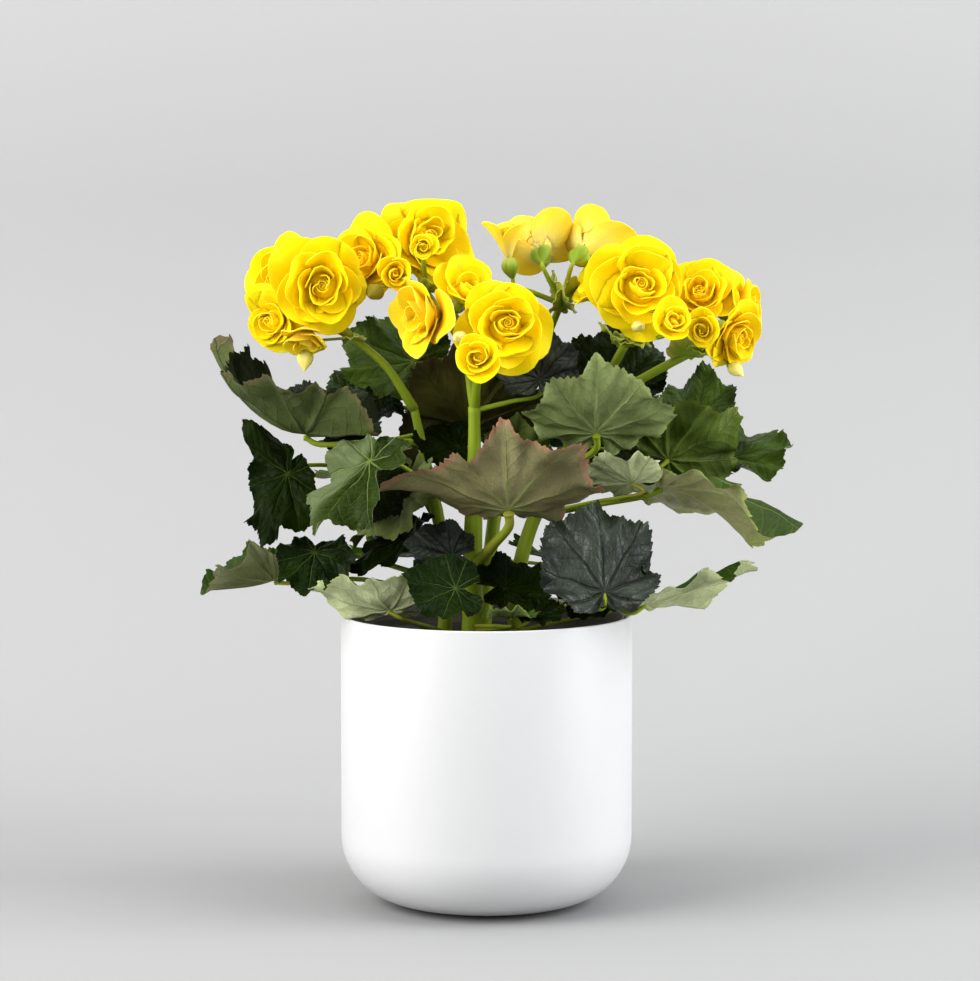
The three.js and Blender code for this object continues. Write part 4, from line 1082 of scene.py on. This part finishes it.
# Every larger leaf: the stem it grows on, where along it, and its blade's place, directions and shape.
LEAVES = complete(PLAIN_LEAF, [
    dict(name="upper_left", finish="dusky", stem="left", join=0.86, at=(-0.09, 0.005, 0.234), heading=178,
         pitch=4, roll=-10, long=0.06, fold=27, tip=66, wave=(8, 3, 40), wide=0.58,
         reach=[(150, 30, 1.2), (-90, 40, 0.8), (-150, 30, 1.2)], petiole=1.7 * MM),
    dict(name="left_shoulder", finish="glossy", stem="back", join=0.78, at=(-0.053, 0.039, 0.248),
         heading=184, pitch=-8, roll=-36, long=0.034, fold=8, wave=(14, 4, 20), reach=[(180, 80, 0.45)],
         via=(-0.012, 0.052, 0.24)),
    dict(name="left_crown", stem="back", join=0.86, at=(-0.037, 0.041, 0.268), heading=158, pitch=16,
         roll=-44, long=0.036, cup=4, wave=(16, 4, 90), reach=[(180, 60, 0.7)]),
    dict(name="left_hanging", finish="dark", stem="left", join=0.62, at=(-0.099, 0.006, 0.214), heading=240,
         pitch=-56, long=0.037, cup=2, curl=-10, wave=(10, 4, 0), bends=[(-118, 20, 10, 30)],
         reach=[(-118, 14, 1.8), (130, 50, 0.5)], wide=0.72, via=(-0.062, 0.039, 0.213)),
    dict(name="left_bright", finish="bright", stem="left", join=0.66, at=(-0.057, -0.026, 0.223),
         heading=220, pitch=-50, long=0.042, cup=4, wave=(16, 4, 60), reach=[(180, 60, 0.5)], wide=0.86,
         via=(-0.04, -0.022, 0.219)),
    dict(name="left_inner", finish="dark", stem="left", join=0.58, at=(-0.055, 0.006, 0.213), heading=252,
         pitch=-58, long=0.03, wide=0.85, wave=(10, 3, 0), reach=[(180, 60, 0.6)]),
    dict(name="far_left_curled", finish="tan", stem="left", join=0.22, at=(-0.106, 0.004, 0.161),
         heading=186, pitch=-22, long=0.036, fold=34, cup=14, wave=(6, 3, 0), wide=0.84,
         reach=[(180, 70, 0.4)], via=(-0.062, 0.014, 0.16)),
    dict(name="low_left", finish="veined", stem="left", join=0.28, at=(-0.085, -0.006, 0.176), heading=264,
         pitch=-38, roll=-4, long=0.031, cup=2, wave=(12, 4, 0), wide=0.8, reach=[(180, 60, 0.5)],
         via=(-0.062, 0.022, 0.17)),
    dict(name="over_rim_left", finish="pale", stem="left", join=0.1, at=(-0.047, -0.036, 0.151),
         heading=180, pitch=4, roll=36, long=0.038, cup=6, wave=(12, 3, 0), wide=0.85,
         reach=[(-90, 60, 0.3), (180, 40, 0.9)]),
    dict(name="low_dark_left", finish="dark", stem="left", join=0.36, at=(-0.039, 0.002, 0.185),
         heading=204, pitch=-40, long=0.035, wide=0.85, wave=(10, 4, 0), reach=[(180, 60, 0.5)]),
    dict(name="low_grey_left", finish="slate", stem="centre", join=0.3, at=(-0.017, -0.028, 0.177),
         heading=188, pitch=12, roll=-62, long=0.022, wave=(14, 4, 0)),
    dict(name="centre_behind", finish="olive", stem="back", join=0.45, at=(-0.008, 0.027, 0.236),
         heading=262, pitch=52, long=0.046, cup=10, wave=(10, 3, 0), bends=[(-112, 18, -20, -50)],
         reach=[(-80, 40, 0.95), (-112, 16, 1.6), (180, 50, 0.6)], via=(-0.004, 0.038, 0.208),
         petiole=1.8 * MM),
    dict(name="centre_wide", finish="blushing", stem="centre", join=0.34, at=(0.011, -0.033, 0.2),
         heading=264, pitch=40, long=0.043, cup=14, wave=(8, 3, 0),
         reach=[(-86, 22, 2), (80, 28, 1.25), (38, 20, 1.2), (180, 50, 0.6)], petiole=2.7 * MM),
    dict(name="low_young_centre", finish="veined", stem="centre", join=0.2, at=(-0.015, -0.049, 0.163),
         heading=186, pitch=6, roll=-48, long=0.024, wave=(14, 4, 0)),
    dict(name="low_dark_centre", finish="dark", stem="centre", join=0.22, at=(0.009, -0.026, 0.16),
         heading=16, pitch=4, roll=30, long=0.025, wave=(12, 4, 0)),
    dict(name="low_slate_right", finish="slate", stem="right", join=0.2, at=(0.057, -0.056, 0.162),
         heading=100, pitch=62, long=0.046, cup=4, wave=(8, 3, 0), reach=[(180, 70, 0.25), (0, 16, 0.86)],
         wide=0.85),
    dict(name="right_blue_crown", finish="slate", stem="centre", join=0.99, at=(0.026, -0.014, 0.262),
         heading=74, pitch=58, long=0.026, cup=6, wave=(18, 3, 0), reach=[(180, 60, 0.7)]),
    dict(name="right_dark_crown", finish="glossy", stem="right", join=0.99, at=(0.066, 0.036, 0.253),
         heading=84, pitch=56, long=0.036, wave=(12, 4, 0), reach=[(180, 70, 0.6)]),
    dict(name="right_pale_wide", finish="soft", stem="right", join=0.62, at=(0.054, -0.015, 0.236),
         heading=268, pitch=40, long=0.04, cup=12, wave=(10, 3, 0), reach=[(-90, 30, 1.2), (85, 25, 1.1)],
         petiole=2.0 * MM),
    dict(name="right_shoulder", stem="right", join=0.72, at=(0.106, 0.052, 0.239), heading=66, pitch=40,
         long=0.028, wave=(14, 4, 0)),
    dict(name="right_olive", finish="leafy", stem="right", join=0.6, at=(0.09, 0.008, 0.221), heading=354,
         pitch=22, roll=-58, long=0.038, cup=10, wave=(10, 3, 0), reach=[(180, 70, 0.45)]),
    dict(name="far_right_dark", stem="right", join=0.72, at=(0.123, 0.043, 0.219), heading=2, pitch=4,
         roll=24, long=0.033, wave=(12, 4, 0), reach=[(180, 70, 0.4)]),
    dict(name="right_long_hanging", finish="tan_light", stem="right", join=0.5, at=(0.086, -0.018, 0.21),
         heading=350, pitch=0, roll=-24, long=0.067, cup=6, wave=(6, 3, 0), wide=0.9, tip=-56,
         reach=[(-90, 55, 0.38), (180, 60, 0.6)], petiole=1.8 * MM),
    dict(name="over_rim_right", finish="pale", stem="right", join=0.14, at=(0.077, -0.033, 0.154),
         heading=2, pitch=8, roll=-22, long=0.054, wide=0.8, cup=4, wave=(8, 3, 0),
         reach=[(90, 60, 0.3), (180, 60, 0.4), (-90, 40, 0.6)], via=(0.056, -0.014, 0.151)),
])

# The youngest leaves and the hidden ones.
SMALL_LEAVES = complete(PLAIN_LEAF | dict(petiole=0.8 * PETIOLE), [
    dict(stem="left", join=0.9, finish="dark", at=(-0.066, 0.013, 0.23), heading=182, pitch=-12, roll=-30,
         long=0.016),
    # Its finish is painted light: this small leaf lies deep in shade and is coloured as though lit.
    dict(stem="left", join=0.5, finish="olive_light", at=(-0.042, 0.01, 0.206), heading=216, pitch=-56,
         long=0.035),
    dict(stem="left", join=0.82, finish="dark", at=(-0.014, 0.012, 0.227), heading=188, pitch=2, roll=-36,
         long=0.022),
    dict(stem="centre", join=0.13, finish="young", at=(0.012, -0.054, 0.15), heading=262, pitch=10,
         long=0.016),
    dict(stem="centre", join=0.6, at=(0.014, 0.008, 0.222), heading=268, pitch=46, long=0.022),
    dict(stem="centre", join=0.11, finish="dark", at=(0.023, -0.052, 0.15), heading=6, pitch=8, roll=18,
         long=0.016),
    dict(stem="right", join=0.1, finish="dark", at=(0.055, -0.038, 0.155), heading=178, pitch=4, roll=-30,
         long=0.019),
    dict(stem="right", join=0.16, finish="dark", at=(0.056, -0.043, 0.159), heading=2, pitch=18, roll=28,
         long=0.021),
    dict(stem="right", join=0.5, finish="pale", at=(0.071, -0.03, 0.213), heading=182, pitch=10, roll=36,
         long=0.025),
    dict(stem="right", join=0.8, finish="dark", at=(0.068, 0.022, 0.226), heading=184, pitch=-4, roll=-34,
         long=0.033, reach=[(180, 90, 0.5)]),
    dict(stem="right", join=0.97, finish="dark", at=(0.055, 0.004, 0.26), heading=104, pitch=44,
         long=0.023),
    dict(stem="back", join=0.95, at=(-0.024, 0.08, 0.246), heading=128, pitch=4, long=0.034),
    dict(stem="back", join=0.9, at=(0.04, 0.078, 0.246), heading=62, pitch=2, long=0.036),
    dict(stem="back", join=0.6, at=(-0.048, 0.07, 0.21), heading=140, pitch=-10, long=0.04),
    dict(stem="back", join=0.5, at=(0.004, 0.084, 0.198), heading=92, pitch=-14, long=0.036),
    dict(stem="back", join=0.55, at=(0.062, 0.066, 0.208), heading=40, pitch=-12, long=0.04),
    dict(stem="back", join=0.25, at=(-0.036, 0.052, 0.168), heading=130, pitch=-4, long=0.034),
    dict(stem="back", join=0.3, at=(0.036, 0.054, 0.168), heading=50, pitch=-4, long=0.034),
])

# facing: azimuth and elevation of the way a flower looks, in degrees; spin: its turn round that way.
BLOOMS = complete(dict(spin=0, finish="petal_lemon"), [
    dict(name="left_large", stalk="left", at=(-0.08, -0.018, 0.308), facing=(284, 0), radius=0.0205,
         kind="open", spin=10),
    dict(name="left_outer", stalk="left", at=(-0.104, 0.008, 0.312), facing=(226, 16), radius=0.017,
         kind="small", spin=40),
    dict(name="left_lower", stalk="left", at=(-0.106, -0.006, 0.29), facing=(236, -14), radius=0.015,
         kind="small"),
    dict(name="left_drooping", stalk="left", at=(-0.088, -0.016, 0.282), facing=(262, -62), radius=0.011,
         kind="half", spin=20, finish="petal_cream"),
    dict(name="top_large", stalk="top", at=(-0.029, 0.012, 0.331), facing=(296, 18), radius=0.0215,
         kind="open"),
    dict(name="top_left", stalk="top", at=(-0.061, 0.004, 0.32), facing=(240, 8), radius=0.0175,
         kind="small", spin=25, finish="petal_golden"),
    dict(name="top_small", stalk="top", at=(-0.031, -0.02, 0.327), facing=(272, 0), radius=0.007,
         kind="rolled"),
    dict(name="top_rolled", stalk="top", at=(-0.045, -0.019, 0.314), facing=(280, -8), radius=0.009,
         kind="rolled", spin=30, finish="petal_golden"),
    dict(name="middle_side", stalk="middle", at=(-0.031, -0.022, 0.294), facing=(220, 2), radius=0.018,
         kind="loose", finish="petal_cream"),
    dict(name="middle_upright", stalk="middle", at=(-0.01, -0.012, 0.306), facing=(300, 44), radius=0.015,
         kind="half", spin=50),
    dict(name="middle_large", stalk="middle", at=(0.01, -0.038, 0.29), facing=(284, 4), radius=0.0195,
         kind="open"),
    dict(name="middle_rolled", stalk="middle", at=(-0.004, -0.054, 0.275), facing=(264, 14), radius=0.012,
         kind="rolled", spin=15),
    dict(name="rear_bud", stalk="rear", at=(0.01, 0.004, 0.326), facing=(200, 78), radius=0.01,
         kind="funnel", finish="petal_cream"),
    dict(name="rear_middle", stalk="rear", at=(0.027, 0.026, 0.329), facing=(92, 30), radius=0.0165,
         kind="loose", spin=20, finish="petal_cream"),
    dict(name="rear_cream", stalk="rear", at=(0.052, 0.026, 0.328), facing=(64, 26), radius=0.0175,
         kind="loose", finish="petal_cream"),
    dict(name="right_large", stalk="right", at=(0.075, -0.02, 0.308), facing=(276, 8), radius=0.021,
         kind="open", spin=20),
    dict(name="right_half", stalk="right", at=(0.054, 0.002, 0.308), facing=(200, 30), radius=0.0135,
         kind="half"),
    dict(name="right_rolled", stalk="right", at=(0.09, -0.036, 0.291), facing=(280, 26), radius=0.011,
         kind="rolled"),
    dict(name="far_right_upper", stalk="far_right", at=(0.106, 0.006, 0.304), facing=(266, 34),
         radius=0.016, kind="small", finish="petal_golden"),
    dict(name="far_right_outer", stalk="far_right", at=(0.131, 0.019, 0.296), facing=(342, 14),
         radius=0.016, kind="small", spin=30, finish="petal_golden"),
    dict(name="far_right_lower", stalk="far_right", at=(0.123, -0.012, 0.282), facing=(316, -20),
         radius=0.0155, kind="small", spin=50, finish="petal_golden"),
    dict(name="far_right_rolled", stalk="far_right", at=(0.105, -0.026, 0.287), facing=(270, -2),
         radius=0.0095, kind="rolled"),
])

# Unopened flowers.
BUDS = [
    dict(stalk="top", at=(-0.055, -0.012, 0.3045), facing=(236, -20), long=0.0105, width=0.0062,
         finish="olive_bud"),
    dict(stalk="left", at=(-0.089, -0.012, 0.2715), facing=(262, -70), long=0.013, width=0.0052,
         finish="cream_bud"),
    dict(stalk="middle", at=(-0.013, -0.042, 0.284), facing=(250, 10), long=0.009, width=0.0045,
         finish="cream_bud"),
    dict(stalk="right", at=(0.074, -0.024, 0.2885), facing=(278, 10), long=0.011, width=0.0042,
         finish="cream_bud"),
    dict(stalk="far_right", at=(0.1225, -0.012, 0.2665), facing=(318, -34), long=0.0115, width=0.0048,
         finish="cream_bud"),
]

# Green bracts round the forks, as small leaves.
BRACTS = complete(PLAIN_LEAF | dict(wave=(16, 2, 30)), [
    dict(stalk="rear", at=(0.037, 0.013, 0.299), heading=200, pitch=58, long=0.015),
    dict(stalk="rear", at=(0.038, 0.013, 0.298), heading=330, pitch=50, long=0.014),
    dict(stalk="middle", at=(-0.004, -0.02, 0.267), heading=300, pitch=20, long=0.0075),
    dict(stalk="middle", at=(-0.005, -0.018, 0.268), heading=170, pitch=40, long=0.007),
    dict(stalk="far_right", at=(0.104, -0.002, 0.277), heading=250, pitch=-8, long=0.009),
    dict(stalk="far_right", at=(0.106, 0, 0.276), heading=330, pitch=-30, long=0.0085),
    dict(stalk="right", at=(0.067, -0.005, 0.279), heading=230, pitch=30, long=0.008),
    dict(stalk="right", at=(0.066, -0.007, 0.281), heading=190, pitch=24, long=0.013),
    dict(stalk="right", at=(0.07, -0.009, 0.281), heading=296, pitch=-24, long=0.012),
    dict(stalk="far_right", at=(0.098, -0.003, 0.274), heading=268, pitch=36, long=0.012),
    dict(stalk="far_right", at=(0.108, -0.003, 0.278), heading=300, pitch=-46, long=0.011),
    dict(stalk="middle", at=(-0.004, -0.022, 0.266), heading=352, pitch=34, long=0.01),
    dict(stalk="left", at=(-0.066, -0.006, 0.282), heading=290, pitch=-10, long=0.008),
    dict(stalk="top", at=(-0.03, 0.003, 0.305), heading=260, pitch=30, long=0.008),
])

PEDICEL = 0.85 * MM
REAR_OVARY = 1.5                  # how much longer the ovaries of the rear cluster are
STEM_TAPER = 0.42                 # share of its radius that a stem loses on the way up
JOINT_SWELL = 0.1                 # how much thicker a stem is where a petiole leaves it
JOINT_LENGTH = 0.018              # of such a joint, as a share of the stem's
# Seeds that set the small leaves and the bracts apart from the larger leaves.
SMALL_PETIOLE_SEED = 20
SMALL_LEAF_SEED = 40
BRACT_SEED = 60


def stem_point(stem, share):
    route = smooth_route(STEMS[stem]["path"], 20)
    return route[round(share * (len(route) - 1))]


# The way that a bloom or a bud points, as a unit vector.
def facing_axis(flower):
    azimuth, elevation = (math.radians(angle) for angle in flower["facing"])
    return np.array([math.cos(elevation) * math.cos(azimuth), math.cos(elevation) * math.sin(azimuth),
                     math.sin(elevation)])


POD_COLUMNS = 30
POD_RINGS = 14


# A closed pod along an axis: round with soft lobes or wings. It serves for buds and for ovaries.
# belly: share of the way where it is widest; blunt: less than 1 for fuller ends.
def add_pod(piece, at, axis, long, width, lobes=3, wing=0.35, belly=0.6, blunt=0.75):
    turned = Matrix.Translation(at) @ Vector(axis).normalized().to_track_quat("Z", "Y").to_matrix().to_4x4()
    share = np.linspace(0.02, 0.98, POD_RINGS)
    angle = np.arange(POD_COLUMNS) * 2 * math.pi / POD_COLUMNS
    swell = np.sin(math.pi * share ** (math.log(0.5) / math.log(belly))) ** blunt
    outline = 1 - wing + wing * np.abs(np.cos(angle * lobes / 2)) ** 0.8
    radius = 0.5 * width * swell[:, None] * outline[None]
    rings = np.stack([radius * np.cos(angle), radius * np.sin(angle),
                      np.broadcast_to((share * long)[:, None], radius.shape)], axis=-1)
    points = placed(np.vstack([rings.reshape(-1, 3), [(0, 0, 0)], [(0, 0, long)]]), turned)
    along = np.append(np.repeat(share, POD_COLUMNS), [0, 1])
    around = np.append(np.tile(angle / (2 * math.pi), POD_RINGS), [0.5, 0.5])
    marks = np.stack([np.zeros(len(points)), along, np.full(len(points), 0.5)], axis=1)
    piece.add(points, ring_faces(POD_RINGS, POD_COLUMNS), np.stack([around, along], axis=1), marks)


def add_petiole(piece, leaf, seed):
    turned = leaf_turn(leaf).to_3x3()
    radius = leaf["petiole"]
    upper, midrib = np.array(turned.col[2]), np.array(turned.col[0])
    end = np.array(leaf["at"]) - upper * (BLADE * 0.4 + radius * 0.95)
    before = end - upper * 3 * MM - midrib * 6 * MM
    root = stem_point(leaf["stem"], leaf["join"])
    middle = np.array(leaf["via"]) if "via" in leaf else root + (before - root) * 0.55
    path = smooth_route([root, middle, before, end], 7)
    along = np.linspace(0, 1, len(path))
    radii = radius * (1.15 - 0.3 * smooth(0, 0.6, along) + 0.25 * smooth(0.9, 1.0, along))
    add_stalk(piece, path, radii, 10, tint=0.3 + 0.6 * ((seed * 0.618) % 1))


# The way of a flower's own stalk, from the fork to the foot of its ovary, which it enters straight.
def pedicel_path(fork, foot, axis, straight, inside):
    before = foot - axis * straight
    return smooth_route([fork, fork + (before - fork) * 0.6, before, foot + axis * inside], 6)


def add_flower_stalks(piece, greens, name):
    stalk = STALKS[name]
    path = smooth_route([STEMS[stalk["stem"]]["path"][-1], *stalk["path"]], 8)
    along = np.linspace(0, 1, len(path))
    add_stalk(piece, path, stalk["radius"] * (1.3 - 0.3 * smooth(0, 0.5, along)), 14, tint=0.15)
    fork = np.array(stalk["path"][-1])
    for bloom in chosen(BLOOMS, "stalk", name):
        axis = facing_axis(bloom)
        long = (5.5 * MM + 0.2 * bloom["radius"]) * (REAR_OVARY if name == "rear" else 1)
        foot = np.array(bloom["at"]) - axis * (HEART_DEPTH * bloom["radius"] + long)
        path = pedicel_path(fork, foot, axis, 2 * MM, 1.5 * MM)
        add_stalk(piece, path, PEDICEL * np.linspace(1.7, 1.05, len(path)), 10, tint=0.4)
        add_pod(greens, foot, axis, long + 1.5 * MM, 5.2 * MM + 0.4 * bloom["radius"])
    for bud in chosen(BUDS, "stalk", name):
        axis = facing_axis(bud)
        start = np.array(bud["at"]) - axis * bud["long"] * 0.5
        add_stalk(piece, pedicel_path(fork, start, axis, 3 * MM, 1 * MM), PEDICEL * 0.8, 8, tint=0.4)
        add_pod(greens, start - axis * 1.5 * MM, axis, 4.5 * MM, 4 * MM)


# The small leaves of a stem, one piece for each finish.
def make_small_leaves(stem, materials, nodes):
    small = chosen(SMALL_LEAVES, "stem", stem)
    for finish in sorted({leaf["finish"] for leaf in small}):
        blades = Piece()
        for seed, leaf in enumerate(small, SMALL_LEAF_SEED):
            if leaf["finish"] == finish:
                add_blade(blades, leaf, SMALL_COLUMNS, seed)
        blades.finish(f"small_leaves_{stem}_{finish}", materials[finish], "leaf", nodes)


# The unopened flowers of a stem, one piece for each finish.
def make_buds(stem, materials, nodes):
    for finish in ("olive_bud", "cream_bud"):
        pods = Piece()
        for bud in chosen(BUDS, "finish", finish):
            if STALKS[bud["stalk"]]["stem"] == stem:
                axis = facing_axis(bud)
                start = np.array(bud["at"]) - axis * bud["long"] * 0.5
                add_pod(pods, start, axis, bud["long"], bud["width"] * 1.6, lobes=2, wing=0.25, belly=0.42,
                        blunt=1.15)
        if pods.count:
            pods.finish(f"buds_{stem}_{finish}", materials[finish], "petal", nodes)


# A stem with its petioles, flowering stalks and flowers' own stalks, and all that is one with it.
def make_stem(stem, materials):
    piece, greens = Piece(), Piece()
    leaves, small = (chosen(table, "stem", stem) for table in (LEAVES, SMALL_LEAVES))
    path = smooth_route(STEMS[stem]["path"], 12)
    along = np.linspace(0, 1, len(path))
    swell = sum(bell(along - leaf["join"], JOINT_LENGTH) for leaf in leaves + small)
    radii = STEMS[stem]["radius"] * (1.04 - STEM_TAPER * smooth(0.3, 1.0, along))
    add_stalk(piece, path, radii * (1 + JOINT_SWELL * clamp(swell)), 24, tint=0.12)
    for first, table in ((0, leaves), (SMALL_PETIOLE_SEED, small)):
        for seed, leaf in enumerate(table, first):
            add_petiole(piece, leaf, seed)
    for name in (name for name, stalk in STALKS.items() if stalk["stem"] == stem):
        add_flower_stalks(piece, greens, name)
        for seed, bract in enumerate(chosen(BRACTS, "stalk", name), BRACT_SEED):
            add_blade(greens, bract, BRACT_COLUMNS, seed)
    nodes = [f"leafy_stem_{stem}"]
    piece.finish(f"stem_{stem}", materials["stem"], "stem", nodes)
    if greens.count:
        greens.finish(f"bracts_{stem}", materials["bud_green"], "stem", nodes)
    make_small_leaves(stem, materials, nodes)
    make_buds(stem, materials, nodes)


def make_plant(materials):
    for stem in STEMS:
        make_stem(stem, materials)
    for seed, leaf in enumerate(LEAVES):
        piece = Piece()
        add_blade(piece, leaf, LEAF_COLUMNS, seed)
        name = leaf["name"]
        piece.finish(f"blade_{name}", materials[leaf["finish"]], "leaf", [f"leaf_{name}"])
    for seed, bloom in enumerate(BLOOMS):
        piece = Piece()
        add_bloom(piece, bloom, seed)
        name = bloom["name"]
        piece.finish(f"flower_{name}", materials[bloom["finish"]], "petal", [f"bloom_{name}"])


# ---------------------------------------------------------------- stage

STAGE_SIDE = 3.0                  # half the width of floor and wall
FLOOR_FRONT = -2.2
WALL_START = 0.2                  # where the floor begins to rise into the wall
SWEEP = 0.35                      # radius of the bend between them
WALL_TOP = 2.6


def make_stage(material):
    path = [(FLOOR_FRONT, 0.0), (WALL_START, 0.0)]
    path += [(WALL_START + SWEEP * math.sin(a), SWEEP - SWEEP * math.cos(a))
             for a in np.radians(np.linspace(5, 90, 18))]
    path += [(WALL_START + SWEEP, WALL_TOP)]
    points = [(x, y, z) for y, z in path for x in (-STAGE_SIDE, STAGE_SIDE)]
    faces = [(2 * i, 2 * i + 1, 2 * i + 3, 2 * i + 2) for i in range(len(path) - 1)]
    mesh = bpy.data.meshes.new("backdrop")
    mesh.from_pydata(points, [], faces)
    mesh.shade_smooth()
    mesh.materials.append(material)
    backdrop = bpy.data.objects.new("backdrop", mesh)
    bpy.context.collection.objects.link(backdrop)


# ---------------------------------------------------------------- the whole

veins = leaf_vein_group()
materials = {name: leaf_material(name, look, veins) for name, look in LEAF_LOOKS.items()}
materials |= {name: petal_material(name, look) for name, look in PETAL_LOOKS.items()}
materials |= {"stem": stem_material(), "bud_green": green_bud_material()}
add_camera()
add_lights()
make_stage(stage_material())
make_cover_pot(pot_material())
make_foot(cork_material())
make_nursery_pot(nursery_material())
make_soil(soil_material())
make_plant(materials)
